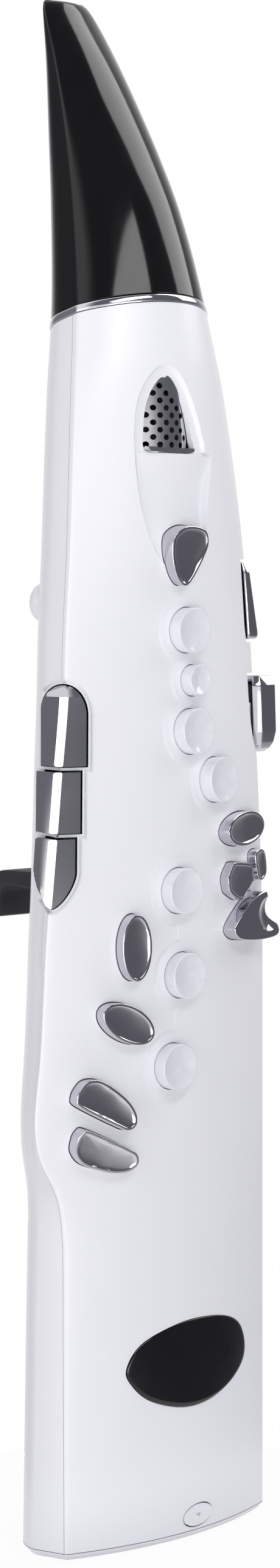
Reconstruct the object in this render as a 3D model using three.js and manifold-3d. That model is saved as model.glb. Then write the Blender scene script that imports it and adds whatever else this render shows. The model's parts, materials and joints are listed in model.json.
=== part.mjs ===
// Digital wind controller, in millimetres: +Z up, the playing face towards -Y.
// The origin is on the underside of the foot, on the line between the front edges.
import * as THREE from "three";
import { mergeVertices } from "three/addons/utils/BufferGeometryUtils.js";
import Module from "manifold-3d";

const wasm = await Module();
wasm.setup();

// Body sizes
const overallHeight = 618;
const footHalfWidth = 53.5;
const hipReach = 16.6;
const tipDepth = 62;
const crownRise = 21;
const backDepth = 44;
const sideDepth = 14;
const wall = 2.2;
const joint = 0.3;
const seamSetback = 3;
const seamStartShare = 0.27;
const seamLevels = 18;
const ringRiseShare = 0.7848;
const ringRise = ringRiseShare * overallHeight;
const ringHeight = 3;
const ringTilt = THREE.MathUtils.degToRad(13.5);
const ringProud = 0.5;
const footCapHeight = 2.6;
const footBevel = 1.8;
const footPlugHeight = 4;

// Body curves, as shares of the overall height and of the size that each curve scales
const taperShares = [
  [0, 1], [0.38, 1], [0.413, 0.99], [0.48, 0.98], [0.558, 0.951], [0.634, 0.88], [0.688, 0.819],
  [0.735, 0.751], [0.785, 0.643], [0.858, 0.527], [0.927, 0.398], [0.958, 0.333], [0.992, 0.249],
  [1, 0.206],
];
const hipShares = [
  [0, 0.02], [0.19, 0.03], [0.209, 0.08], [0.225, 0.2], [0.236, 0.41], [0.247, 0.69], [0.259, 0.91],
  [0.275, 1], [0.319, 0.82], [0.413, 0.58], [0.48, 0.28], [0.558, 0], [1, 0],
];
const edgeDepthShares = [
  [0, 0], [0.413, 0], [0.48, 0.024], [0.558, 0.058], [0.634, 0.079], [0.688, 0.115], [0.735, 0.161],
  [0.785, 0.245], [0.858, 0.406], [0.893, 0.516], [0.927, 0.644], [0.958, 0.779], [1, 1],
];
const crownShares = [[0, 0.476], [0.558, 0.476], [0.785, 1], [1, 0.143]];
const backShares = [[0, 1], [0.413, 1], [0.785, 1.114], [1, 1.47]];
const sideShares = [
  [0, 1], [0.19, 0.9], [0.27, 0.72], [0.785, 0.65], [0.893, 0.5], [0.958, 0.2], [0.992, 0.05], [1, 0.04],
];
const flareShares = [[0, 1.09], [0.19, 1.055], [0.413, 0.99], [1, 1]];
const hipFlareShare = 0.4;

// Numbers of facets
const frontFacets = 8;
const backFacets = 8;
const keyFacets = 12;
const longOutlineFacets = 18;
const pinFacets = 8;

// Round touches
const touchDiameter = 18;
const smallTouchDiameter = 12.3;
const touchRise = 6;
const touchTravel = 2;
const touchDish = 1.3;
const touchRim = 0.8;
const keyClearance = 0.35;
const neighbourGap = 0.6;
const flangeWidth = 1.2;
const flangeThickness = 1;
const flangeGap = 0.7;
const touchFoot = wall + flangeGap + flangeThickness;
const stemRadius = 2;
const stemGap = 0.3;
const plateauMargin = 4.6;
const plateauRise = 0.45;

// Chromed touches on the face
const chromeRise = 4.6;
const chromeDish = 0.7;
const chromeRim = 1.1;
const dropLength = 24;
const dropWidth = 20.5;
const ovalLength = 26;
const ovalWidth = 14;
const ovalTilt = THREE.MathUtils.degToRad(-26);
const halfMoonLength = 30;
const halfMoonWidth = 13;
const halfMoonTilt = THREE.MathUtils.degToRad(-26.5);
const almondLength = 27;
const almondWidth = 13.5;
const almondTilt = THREE.MathUtils.degToRad(6);
const squareLength = 18.4;
const squareWidthShare = 0.02557;
const squareWidth = squareWidthShare * overallHeight;
const squareRise = 3.8;
const slimLengthShare = 0.02136;
const slimLength = slimLengthShare * overallHeight;
const wingLength = 29.5;
const wingWidthShare = 0.03107;
const wingWidth = wingWidthShare * overallHeight;
const wingRise = 9;
const wingLowRise = 5;
const wingScoop = 2;
const wingScoopRadius = 13;
const wingScoopShares = [0.08, 0.1];
const wingBevel = 1;
const wingTopShare = 0.94;

// Power touch
const powerLength = 16;
const powerWidth = 8.2;
const powerTilt = THREE.MathUtils.degToRad(4);
const powerRise = 0.3;
const powerDish = 0.15;
const powerRim = 0.4;
const powerFlangeWidth = 0.6;
const powerTravel = 0.8;

// Speaker recess
const grilleLength = 30;
const grilleWidth = 25;
const recessMargin = 4.5;
const recessDepth = 1.4;
const grilleSink = 3.4;
const grilleThickness = 0.8;
const grilleShareX = -0.105;
const grilleShareZ = 0.7193;
const grilleHoleDiameter = 2.6;
const grilleHolePitch = 4.2;
const holeFacets = 6;
const grilleLip = 1.2;
const podWidth = 50;
const podLength = 96;
const podRiseShare = 0.6861;
const podRise = podRiseShare * overallHeight;
const scoopWidth = 30;
const scoopDepth = 2.9;
const scoopSink = 2.5;
const scoopRadius = 69;
const scoopFacets = 60;
const scoopShareX = -0.037;
const scoopShareZ = 0.6605;
const driverRadius = 13.5;
const driverConeRadius = 11.6;
const driverMagnetRadius = 7;
const driverFrameThickness = 1.2;
const driverDepth = 8;
const driverGap = 2.7;

// Badge
const badgeLength = 66.5;
const badgeWidth = 33.5;
const badgeThickness = 1.4;
const badgeProud = 0.4;
const badgeShareX = 0.082;
const badgeShareZ = 0.1125;

// Side touches round the left edge
const sideKeyTopShare = 0.5477;
const sideKeyTop = sideKeyTopShare * overallHeight;
const sideKeyHeights = [31.3, 23.5, 26.5];
const sideKeyRib = 2.2;
const sideKeyReach = 9;
const sideKeyRise = 2.2;
const sideKeyMargin = 0.5;
const sideSweep = 14;
const sideFlangeSweep = 15.8;
const sideKeyRidge = 2.6;
const sideKeyFlangeWidth = 0.9;
const sideKeyTravel = 1.8;
const sideBoardInset = 14;
const sideBoardWidth = 5;
const sideBoardShift = 5;
const sidePostRadius = 1.8;
const sidePostShares = [0.22, 0.78];

// Palm touches on the right edge
const palmHeight = 31.5;
const palmDepth = 13;
const palmBevel = 4.2;
const palmFront = 4;
const palmPocket = 5.2;
const palmPocketBack = 22;
const palmPocketMargin = 1.2;
const palmStemHeight = 9;
const palmStemThickness = 5;
const palmStop = 2;
const palmLevels = 4;
const palmTipShare = 0.3;
const palmTipHeight = 8.5;
const palmTopShare = 0.75;
const palmFrameThickness = 1.6;
const palmTopShares = [0.6262, 0.551];
const palmReaches = [4.8, 13.4];
const palmTopReaches = [3.7, 13.4];
const palmInsets = [1.2, 0.2];
const palmKeys = ["palm_key_upper", "palm_key_lower"].map((name, i) => ({
  name, top: palmTopShares[i] * overallHeight, reach: palmReaches[i], topReach: palmTopReaches[i],
  inset: palmInsets[i],
}));

// Mouthpiece and neck
const neckOuterRadius = 9.5;
const neckBoreRadius = 2.6;
const neckLength = 32;
const neckDepth = 28;
const neckFlange = 2.4;
const neckTail = 10;
const neckTailRadius = 5.5;
const neckFacets = 16;
const sealRadius = 0.8;
const sealFacets = 6;
const sealRise = 18;
const slotWidth = 9;
const slotHeight = 1.4;
const slotDepth = 34;
const breathRadius = 2.6;
const mouthpieceFit = 0.15;
const reedLength = 62;
const reedWidth = 15;
const reedThickness = 2;
const reedSeat = 1.3;
const reedTip = 0.6;
const reedTipGap = 2;
const beakLevels = [0.76, 0.785, 0.81, 0.84, 0.87, 0.9, 0.93, 0.955, 0.975, 0.99, 1];
const breathTubeRadius = 2.4;
const breathTubeBore = 1.4;
const breathTubeLength = 52;
const tubeOverlap = 5;
const nozzleRadius = 1.1;

// Parts on the back
const hookWidth = 18;
const hookReach = 35;
const hookHeight = 35;
const hookRiseShare = 0.3883;
const hookRise = hookRiseShare * overallHeight;
const hookPlace = -17;
const hookShares = [
  [-0.3, 0], [0.086, 0], [0.086, 0.417], [0.743, 0.429], [0.829, 0.343], [0.814, 0.086], [0.871, 0.043],
  [0.971, 0.086], [1, 0.343], [0.957, 0.529], [0.829, 0.617], [0.171, 0.617], [0.086, 0.686], [0.086, 1],
  [-0.3, 1],
];
const restWidth = 20;
const restLength = 24;
const restThickness = 2.6;
const restRiseShare = 0.5469;
const restRise = restRiseShare * overallHeight;
const restPlace = -12;
const octaveWidth = 15.5;
const octaveRise = 6.8;
const octaveTravel = 1.6;
const octaveDomeShares = [[1, 0.3], [0.94, 0.55], [0.78, 0.8], [0.5, 0.95], [0.15, 1]];
const octavePlaceShares = [["octave_up_key", -0.561, 0.5995], ["octave_down_key", -0.056, 0.5995]];
const strapWidth = 15;
const strapHeight = 22;
const strapWire = 3.4;
const strapThickness = 4;
const strapRiseShare = 0.4984;
const strapRise = strapRiseShare * overallHeight;
const strapFootLength = 26;
const strapFootWidth = 12;
const strapFootThickness = 2;

// Battery cover and pack
const coverBottomShare = 0.0583;
const coverBottom = coverBottomShare * overallHeight;
const coverTopShare = 0.2104;
const coverTop = coverTopShare * overallHeight;
const coverDepth = 24;
const coverGap = 0.4;
const bulkheadThickness = 2;
const bulkheadDepth = 16;
const packWidth = 68;
const packDepth = 17.4;
const packGap = 0.7;

// Boards, sensor and sockets
const boardThickness = 1.6;
const boardDepth = 9;
const boardLeftMargin = 12;
const boardRightMargin = 7;
const boardInset = 21;
const boardRoom = 24;
const boardLevels = 10;
const lowerBoardBottom = 7.5;
const lowerBoardTopShare = 0.4628;
const lowerBoardTop = lowerBoardTopShare * overallHeight;
const upperBoardBottomShare = 0.4757;
const upperBoardBottom = upperBoardBottomShare * overallHeight;
const upperBoardTopShare = 0.6893;
const upperBoardTop = upperBoardTopShare * overallHeight;
const domeRadius = 3;
const domeHeight = 1.5;
const sheetThickness = 0.6;
const sheetMargin = 1.2;
const standoffRadius = 3;
const postShares = [[-0.467, 0.4515], [0.093, 0.4515], [-0.467, 0.4855], [0.56, 0.511]];
const sensorWidth = 14;
const sensorHeight = 12;
const sensorThickness = 7;
const jackRadius = 1.8;
const jackBodyRadius = 4.4;
const jackNozzleRadius = 3;
const jackLength = 14;
const jackHole = 11;
const jackSpacing = 17;
const usbWidth = 9;
const usbThickness = 3.3;
const usbShell = 0.6;
const usbLength = 12;
const usbHole = 6.5;
const socketLift = 0.4;

// Case screws
const screwRadius = 1.3;
const screwHeadRadius = 2.8;
const screwHeadHeight = 1.8;
const screwBossRadius = 4;
const screwSeat = 1.2;
const screwBite = 9;
const bossDepth = 21;
const screwShares = [
  [0.62, 0.036], [-0.62, 0.036], [0.62, 0.221], [-0.62, 0.221], [0.62, 0.66], [-0.62, 0.66],
];
const overrun = 1;
const meshTolerance = 0.02;
const mergeTolerance = 0.001;
const mitreLimit = 0.4;
const far = 2 * overallHeight;

// Finishes
const finish = (colour, roughness, metalness) =>
  new THREE.MeshStandardMaterial({ color: colour, roughness, metalness });
const whiteGloss = finish(0xe9e9ee, 0.25, 0);
const pearl = finish(0xeef1f4, 0.15, 0);
const chrome = finish(0x9a98a2, 0.08, 1);
const blackGloss = finish(0x121216, 0.12, 0);
const blackRubber = finish(0x26262a, 0.7, 0);
const steel = finish(0xb4b4ba, 0.3, 1);
const circuitGreen = finish(0x1f5a3a, 0.5, 0);
const siliconeGrey = finish(0x9aa0a6, 0.6, 0);
const blackPlastic = finish(0x1c1c20, 0.5, 0);

const controller = new THREE.Group();

// A smooth curve through the points of a share table that never overshoots them
function follow(shares, size) {
  const n = shares.length;
  const slope = (i) => (shares[i + 1][1] - shares[i][1]) / (shares[i + 1][0] - shares[i][0]);
  const tangents = shares.map((_, i) => {
    if (i === 0) return slope(0);
    if (i === n - 1) return slope(n - 2);
    const before = slope(i - 1);
    const after = slope(i);
    return before * after <= 0 ? 0 : (2 * before * after) / (before + after);
  });
  return (z) => {
    const at = THREE.MathUtils.clamp(z / overallHeight, shares[0][0], shares[n - 1][0]);
    let i = 0;
    while (i < n - 2 && at > shares[i + 1][0]) i += 1;
    const span = shares[i + 1][0] - shares[i][0];
    const t = (at - shares[i][0]) / span;
    const s = 1 - t;
    const value =
      s * s * (1 + 2 * t) * shares[i][1] + t * t * (3 - 2 * t) * shares[i + 1][1] +
      s * s * t * span * tangents[i] - t * t * s * span * tangents[i + 1];
    return size * value;
  };
}

const taper = follow(taperShares, footHalfWidth);
const hip = follow(hipShares, hipReach);
const edgeDepth = follow(edgeDepthShares, tipDepth);
const crown = follow(crownShares, crownRise);
const back = follow(backShares, backDepth);
const side = follow(sideShares, sideDepth);
const flare = follow(flareShares, 1);

const leftEdge = (z) => -taper(z) - hip(z);
const rightEdge = taper;
const leftBack = (z) => -taper(z) * flare(z) - hip(z) * hipFlareShare;
const rightBack = (z) => taper(z) * flare(z);

// The depth of the playing face: an arc between the two front edges
function faceDepth(x, z) {
  const middle = (leftEdge(z) + rightEdge(z)) / 2;
  const half = (rightEdge(z) - leftEdge(z)) / 2;
  const rise = crown(z);
  const radius = (half * half + rise * rise) / (2 * rise);
  const reach = Math.min(Math.abs(x - middle), half);
  return edgeDepth(z) - rise + radius - Math.sqrt(radius * radius - reach * reach);
}

// One level of the body, seen from above: the face, the right side, the rounded back, the left side
function bodyRing(z) {
  const points = [];
  for (let i = 0; i <= frontFacets; i += 1) {
    const x = THREE.MathUtils.lerp(leftEdge(z), rightEdge(z), i / frontFacets);
    points.push(new THREE.Vector2(x, faceDepth(x, z)));
  }
  const middle = (leftBack(z) + rightBack(z)) / 2;
  const half = (rightBack(z) - leftBack(z)) / 2;
  const shoulder = edgeDepth(z) + side(z);
  for (let i = 0; i <= backFacets; i += 1) {
    const turn = (Math.PI * i) / backFacets;
    const y = shoulder + (back(z) - shoulder) * Math.sin(turn);
    points.push(new THREE.Vector2(middle + half * Math.cos(turn), y));
  }
  return points;
}

// The same closed outline moved outwards by a distance, with mitred corners
function grow(points, distance) {
  const n = points.length;
  return points.map((p, i) => {
    const into = p.clone().sub(points[(i + n - 1) % n]).normalize();
    const out = points[(i + 1) % n].clone().sub(p).normalize();
    const normal = new THREE.Vector2(into.y + out.y, -into.x - out.x).normalize();
    const reach = distance / Math.max(normal.x * out.y - normal.y * out.x, mitreLimit);
    return p.clone().addScaledVector(normal, reach);
  });
}

// A closed solid from a geometry, placed by an optional matrix
function solidOf(geometry, matrix) {
  const bare = geometry.clone();
  bare.deleteAttribute("normal");
  bare.deleteAttribute("uv");
  if (matrix) bare.applyMatrix4(matrix);
  const merged = mergeVertices(bare, mergeTolerance);
  return new wasm.Manifold(new wasm.Mesh({
    numProp: 3,
    vertProperties: merged.attributes.position.array,
    triVerts: new Uint32Array(merged.index.array),
  }));
}

// A skin through closed rings of points, lowest first, with a flat end at each side
function loft(rings) {
  const n = rings[0].length;
  const positions = rings.flat().flatMap((p) => [p.x, p.y, p.z]);
  const faces = [];
  for (let r = 0; r < rings.length - 1; r += 1) {
    for (let i = 0; i < n; i += 1) {
      const j = (i + 1) % n;
      const a = r * n;
      const b = a + n;
      faces.push(a + i, a + j, b + j, a + i, b + j, b + i);
    }
  }
  const top = (rings.length - 1) * n;
  const flat = (ring) => ring.map((p) => new THREE.Vector2(p.x, p.y));
  for (const [i, j, k] of THREE.ShapeUtils.triangulateShape(flat(rings[0]), [])) faces.push(i, k, j);
  for (const [i, j, k] of THREE.ShapeUtils.triangulateShape(flat(rings[rings.length - 1]), [])) {
    faces.push(top + i, top + j, top + k);
  }
  const geometry = new THREE.BufferGeometry();
  geometry.setAttribute("position", new THREE.Float32BufferAttribute(positions, 3));
  geometry.setIndex(faces);
  return solidOf(geometry);
}

const raise = (points, z) => points.map((p) => new THREE.Vector3(p.x, p.y, z));
const bodyLevels = [
  0, 0.17, 0.209, 0.225, 0.241, 0.258, 0.275, 0.32, 0.4, 0.48, 0.56, 0.64, 0.72, 0.77, 0.815,
];
const bodySkin = (growth) =>
  loft(bodyLevels.map((share) => {
    const z = share * overallHeight;
    return raise(grow(bodyRing(z), growth), z);
  }));

// Boxes, pins and outline prisms as solids
function boxSolid(x0, x1, y0, y1, z0, z1, matrix) {
  const geometry = new THREE.BoxGeometry(x1 - x0, y1 - y0, z1 - z0);
  geometry.translate((x0 + x1) / 2, (y0 + y1) / 2, (z0 + z1) / 2);
  return solidOf(geometry, matrix);
}

function prism(points, from, to, matrix) {
  const shape = new THREE.Shape(points);
  const geometry = new THREE.ExtrudeGeometry(shape, { depth: to - from, bevelEnabled: false });
  geometry.translate(0, 0, from);
  return solidOf(geometry, matrix);
}

function pin(radius, from, to, matrix, facets = pinFacets) {
  const geometry = new THREE.CylinderGeometry(radius, radius, to - from, facets);
  geometry.rotateX(Math.PI / 2);
  geometry.translate(0, 0, (from + to) / 2);
  return solidOf(geometry, matrix);
}

// A matrix whose local +Z points along a direction and whose local +Y leans upwards
function facing(place, direction, roll = 0) {
  const out = direction.clone().normalize();
  const across = new THREE.Vector3(0, 0, 1).cross(out).normalize();
  const up = out.clone().cross(across);
  const matrix = new THREE.Matrix4().makeBasis(across, up, out);
  matrix.multiply(new THREE.Matrix4().makeRotationZ(roll));
  return matrix.setPosition(place);
}

const faceStep = wall / 4;
function facePlace(xShare, zShare, roll) {
  const x = xShare * footHalfWidth;
  const z = zShare * overallHeight;
  const across = (faceDepth(x + faceStep, z) - faceDepth(x - faceStep, z)) / (2 * faceStep);
  const along = (faceDepth(x, z + faceStep) - faceDepth(x, z - faceStep)) / (2 * faceStep);
  const out = new THREE.Vector3(across, -1, along);
  return facing(new THREE.Vector3(x, faceDepth(x, z), z), out, roll);
}

// A named part in the group: its geometry stays in its own frame, and a matrix places it
function addPart(name, solid, material, matrix) {
  const made = solid.simplify(meshTolerance).getMesh();
  const geometry = new THREE.BufferGeometry();
  const positions = new Float32Array(made.numVert * 3);
  for (let i = 0; i < made.numVert; i += 1) {
    for (let k = 0; k < 3; k += 1) positions[i * 3 + k] = made.vertProperties[i * made.numProp + k];
  }
  geometry.setAttribute("position", new THREE.BufferAttribute(positions, 3));
  geometry.setIndex(new THREE.BufferAttribute(new Uint32Array(made.triVerts), 1));
  const mesh = new THREE.Mesh(geometry, material);
  mesh.name = name;
  if (matrix) matrix.decompose(mesh.position, mesh.quaternion, mesh.scale);
  controller.add(mesh);
  return mesh;
}

// Outlines of the touches, centred on their own origin
const ellipse = (length, width, facets = keyFacets) =>
  Array.from({ length: facets }, (_, i) => {
    const turn = (2 * Math.PI * i) / facets;
    return new THREE.Vector2((length / 2) * Math.cos(turn), (width / 2) * Math.sin(turn));
  });

function smoothOutline(shares, length, width, facets = keyFacets) {
  const curve = new THREE.CatmullRomCurve3(
    shares.map(([u, v]) => new THREE.Vector3(u * length, v * width, 0)), true, "catmullrom", 0.5,
  );
  const points = curve.getSpacedPoints(facets).slice(0, facets).map((p) => new THREE.Vector2(p.x, p.y));
  return THREE.ShapeUtils.isClockWise(points) ? points.reverse() : points;
}

const dropShares = [
  [-0.46, 0.1], [-0.4, 0.33], [-0.15, 0.47], [0.15, 0.49], [0.42, 0.42], [0.5, 0.22], [0.4, 0], [0.2, -0.28],
  [0.02, -0.46], [-0.14, -0.48], [-0.3, -0.35], [-0.42, -0.12],
];
const halfMoonShares = [
  [-0.42, -0.46], [-0.1, -0.5], [0.25, -0.5], [0.42, -0.46], [0.5, -0.22], [0.44, 0.08], [0.26, 0.32],
  [0, 0.46],
  [-0.26, 0.5], [-0.44, 0.3], [-0.5, -0.05], [-0.49, -0.32],
];
const squareShares = [
  [-0.5, 0.12], [-0.34, 0.4], [-0.2, 0.48], [0.3, 0.42], [0.46, 0.36], [0.5, 0.1], [0.44, -0.08],
  [0.1, -0.42],
  [-0.06, -0.48], [-0.38, -0.3], [-0.46, -0.18],
];
const slimShares = [
  [-0.414, 0.314], [-0.2, 0.421], [0.193, 0.4], [0.336, 0.143], [0.357, -0.286], [0.086, -0.514],
  [-0.164, -0.457], [-0.2, -0.214], [-0.2, 0.071], [-0.329, 0.214],
];
const wingShares = [
  [-0.5, -0.2], [-0.36, 0.06], [-0.12, 0.34], [0.08, 0.5], [0.2, 0.5], [0.22, 0.24], [0.28, 0], [0.44, -0.24],
  [0.42, -0.42], [0.16, -0.48], [-0.14, -0.47], [-0.4, -0.4],
];
const badgeShares = [
  [-0.5, 0.06], [-0.38, 0.34], [-0.07, 0.5], [0.24, 0.47], [0.43, 0.32], [0.5, 0.06], [0.47, -0.17],
  [0.33, -0.37], [0.12, -0.5], [-0.1, -0.5], [-0.33, -0.36], [-0.46, -0.15],
];
const grilleShares = [
  [-0.5, -0.42], [-0.5, -0.2], [-0.46, 0.08], [-0.36, 0.3], [-0.22, 0.46], [-0.12, 0.5], [0, 0.44],
  [0.16, 0.24],
  [0.3, 0], [0.42, -0.24], [0.5, -0.46], [0.2, -0.5], [-0.1, -0.49], [-0.42, -0.48],
];

// A touch: a straight body and a dished top inside a narrow rim
const dishShares = [[0.55, 0.75], [0.15, 1]];
const rimDip = 0.15;
function touchSolid(outline, rise, dish, rim) {
  const narrow = Math.min(...outline.map((p) => p.length()));
  const shrink = (share) => outline.map((p) => p.clone().multiplyScalar(share));
  return loft([
    raise(outline, -touchFoot),
    raise(outline, rise - rim / 2),
    raise(shrink(1 - rim / 2 / narrow), rise),
    raise(shrink(1 - rim / narrow), rise - dish * rimDip),
    ...dishShares.map(([reach, depth]) => raise(shrink(reach), rise - dish * depth)),
  ]);
}

// The local height at which a line into the case meets the contact sheet's domes
const sheetBack = boardDepth - joint;
const domeTop = sheetBack - sheetThickness - domeHeight;
function stemEnd(matrix, depth = domeTop) {
  const place = new THREE.Vector3().setFromMatrixPosition(matrix);
  const out = new THREE.Vector3().setFromMatrixColumn(matrix, 2);
  const tilt = Math.hypot(out.x, out.z) / Math.abs(out.y);
  return (depth - place.y) / out.y + stemGap + stemRadius * tilt;
}

// The pin under a touch, which stops short of its dome by the touch's travel
const stemOf = (matrix) => pin(stemRadius, stemEnd(matrix) + touchTravel, -touchFoot + flangeThickness / 2);

// The touches on the face: their places are shares of the foot's half width and the overall height
const roundTouches = [
  ["key_1", 0.065, 0.582, touchDiameter],
  ["key_2", 0.121, 0.5495, smallTouchDiameter],
  ["key_3", 0.088, 0.5168, touchDiameter],
  ["key_4", 0.346, 0.485, touchDiameter],
  ["key_5", -0.079, 0.4158, touchDiameter],
  ["key_6", -0.05, 0.3617, touchDiameter],
  ["key_7", -0.148, 0.3044, touchDiameter],
];
const dropOutline = smoothOutline(dropShares, dropWidth, dropLength);
const upperMoon = smoothOutline(halfMoonShares, halfMoonLength, halfMoonWidth);
const lowerMoonShares = halfMoonShares.map(([u, v]) => [u, -v]);
const lowerMoon = smoothOutline(lowerMoonShares, halfMoonLength, halfMoonWidth);
const chromeTouches = [
  ["side_oval_key", -0.519, 0.3822, 0, ellipse(ovalWidth, ovalLength), chromeRise],
  ["tilted_oval_key", -0.594, 0.3348, ovalTilt, ellipse(ovalLength, ovalWidth), chromeRise],
  ["low_key_upper", -0.763, 0.2861, halfMoonTilt, upperMoon, chromeRise],
  ["low_key_lower", -0.791, 0.254, halfMoonTilt, lowerMoon, chromeRise],
  ["almond_key", 0.636, 0.4519, almondTilt, ellipse(almondLength, almondWidth), chromeRise],
  ["square_key", 0.57, 0.4184, 0, smoothOutline(squareShares, squareLength, squareWidth), squareRise],
  ["slim_key", 0.846, 0.4276, 0, smoothOutline(slimShares, slimLength, slimLength), squareRise],
];

const touches = [];
for (const [name, xShare, zShare, diameter] of roundTouches) {
  const matrix = facePlace(xShare, zShare, 0);
  const outline = ellipse(diameter, diameter);
  const solid = touchSolid(outline, touchRise, touchDish, touchRim);
  touches.push({ name, matrix, outline, solid, rise: touchRise, material: pearl });
}
for (const [name, xShare, zShare, roll, outline, rise] of chromeTouches) {
  const matrix = facePlace(xShare, zShare, roll);
  const solid = touchSolid(outline, rise, chromeDish, chromeRim);
  touches.push({ name, matrix, outline, solid, rise, material: chrome });
}

// The drop shaped touch stands in the scoop, so its foot is sunk by the depth of the scoop
const dropRise = chromeRise + scoopSink;
const dropSink = new THREE.Matrix4().makeTranslation(0, 0, -scoopSink);
const dropMatrix = facePlace(0.005, 0.6298, 0).multiply(dropSink);
const dropSolid = touchSolid(dropOutline, dropRise, chromeDish, chromeRim);
touches.push({
  name: "front_f_key", matrix: dropMatrix, outline: dropOutline, solid: dropSolid, rise: dropRise,
  material: chrome,
});

// The wing touch: a block that rises to its right corner, with a scoop for the rolling finger
const wingMatrix = facePlace(0.707, 0.394, 0);
const wingOutline = smoothOutline(wingShares, wingLength, wingWidth, longOutlineFacets);
const wingTop = (p) => THREE.MathUtils.lerp(wingLowRise, wingRise, p.x / wingLength + 0.5);
const wingRings = [
  wingOutline.map((p) => new THREE.Vector3(p.x, p.y, wingTop(p) - wingBevel)),
  wingOutline.map((p) => new THREE.Vector3(p.x * wingTopShare, p.y * wingTopShare, wingTop(p))),
];
const wingScooper = new THREE.SphereGeometry(wingScoopRadius, keyFacets, keyFacets / 2);
wingScooper.translate(wingLength * wingScoopShares[0], wingWidth * wingScoopShares[1],
  wingLowRise + wingScoopRadius - wingScoop);
const wingSolid = loft([raise(wingOutline, -touchFoot), ...wingRings]).subtract(solidOf(wingScooper));
touches.push({
  name: "wing_key", matrix: wingMatrix, outline: wingOutline, solid: wingSolid, rise: wingRise,
  material: chrome,
});

// The outer and inner skins of the case, and the room just inside and just outside it
const outer = bodySkin(0);
const inner = bodySkin(-wall);
const snug = bodySkin(-wall - joint);
const clear = bodySkin(joint);

// Each touch gets a flange that keeps it in the case, clear of its neighbours, and a pin to its dome
const cutters = [];
const domePlaces = [];
for (const touch of touches) {
  const { matrix, outline } = touch;
  const place = new THREE.Vector3().setFromMatrixPosition(matrix);
  const inverse = matrix.clone().invert();
  let flange = prism(grow(outline, flangeWidth), -touchFoot, flangeThickness - touchFoot);
  for (const other of touches) {
    const apart = place.distanceTo(new THREE.Vector3().setFromMatrixPosition(other.matrix));
    if (other === touch || apart > 2 * wingLength) continue;
    const relative = inverse.clone().multiply(other.matrix);
    flange = flange.subtract(prism(grow(other.outline, neighbourGap), -2 * touchFoot, touchFoot, relative));
  }
  flange = flange.intersect(snug.transform(inverse.elements));
  addPart(touch.name, touch.solid.add(flange).add(stemOf(matrix)), touch.material, matrix);
  cutters.push(prism(grow(outline, keyClearance), -touchFoot, touch.rise + overrun, matrix));
  if (Math.max(...outline.map((p) => p.length())) > touchDiameter / 2 + overrun) {
    cutters.push(prism(grow(outline, flangeWidth + keyClearance), -touchFoot - touchTravel - overrun,
      -wall - flangeGap / 2, matrix));
  }
  const out = new THREE.Vector3().setFromMatrixColumn(matrix, 2);
  domePlaces.push(place.addScaledVector(out, stemEnd(matrix)));
}

// The power touch, nearly flush with the face above the foot
const powerMatrix = facePlace(0.136, 0.0136, powerTilt);
const powerOutline = ellipse(powerLength, powerWidth);
const powerStem = pin(stemRadius, stemEnd(powerMatrix, sheetBack - sheetThickness) + powerTravel,
  flangeThickness / 2 - touchFoot);
const powerFlange = prism(grow(powerOutline, powerFlangeWidth), -touchFoot, flangeThickness - touchFoot);
const powerTouch = touchSolid(powerOutline, powerRise, powerDish, powerRim);
addPart("power_button", powerTouch.add(powerFlange).add(powerStem), whiteGloss, powerMatrix);
cutters.push(prism(grow(powerOutline, keyClearance), -touchFoot, powerRise + overrun, powerMatrix));
const powerRoom = prism(grow(powerOutline, 2 * powerFlangeWidth), -2 * footHalfWidth / 3, 0, powerMatrix);

// Matrices that stand a prism on the face, on a side, or let a pin run from the face to the back
const axisX = new THREE.Vector3(1, 0, 0);
const axisY = new THREE.Vector3(0, 1, 0);
const axisZ = new THREE.Vector3(0, 0, 1);
const frontOn = (x, z) =>
  new THREE.Matrix4().makeBasis(axisX, axisZ, axisY.clone().negate()).setPosition(x, 0, z);
const backOn = (x, z) =>
  new THREE.Matrix4().makeBasis(axisX, axisZ.clone().negate(), axisY).setPosition(x, 0, z);
const sideOn = new THREE.Matrix4().makeBasis(axisY, axisZ, axisX);
const panel = (points, y0, y1, x = 0, z = 0) => prism(points, -y1, -y0, frontOn(x, z));
const profile = (points, x0, x1) => prism(points, x0, x1, sideOn);

// The ring plane closes the case below the mouthpiece and leans back
const ringHeightAt = (y) => ringRise - (y - edgeDepth(ringRise)) * Math.tan(ringTilt);
const ringMatrix = new THREE.Matrix4().makeRotationX(-ringTilt)
  .setPosition(0, neckDepth, ringHeightAt(neckDepth));
const slab = (from, to) => boxSolid(-far, far, -far, far, from, to, ringMatrix);

// The seam between the case halves, seen from the side
const seamAt = (z) => edgeDepth(z) + seamSetback * THREE.MathUtils.lerp(seamStartShare, 1, z / ringRise);
function frontRegion(shift) {
  const top = ringRise + 2 * crownRise;
  const points = [new THREE.Vector2(-far, top), new THREE.Vector2(-far, -overrun)];
  for (let i = 0; i <= seamLevels; i += 1) {
    const z = THREE.MathUtils.lerp(-overrun, top, i / seamLevels);
    points.push(new THREE.Vector2(seamAt(z) + shift, z));
  }
  return profile(points, -far, far);
}

const ends = slab(-joint, far).add(boxSolid(-far, far, -far, far, -far, footCapHeight + joint));
const faceBack = 2 * boardDepth;

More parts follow.
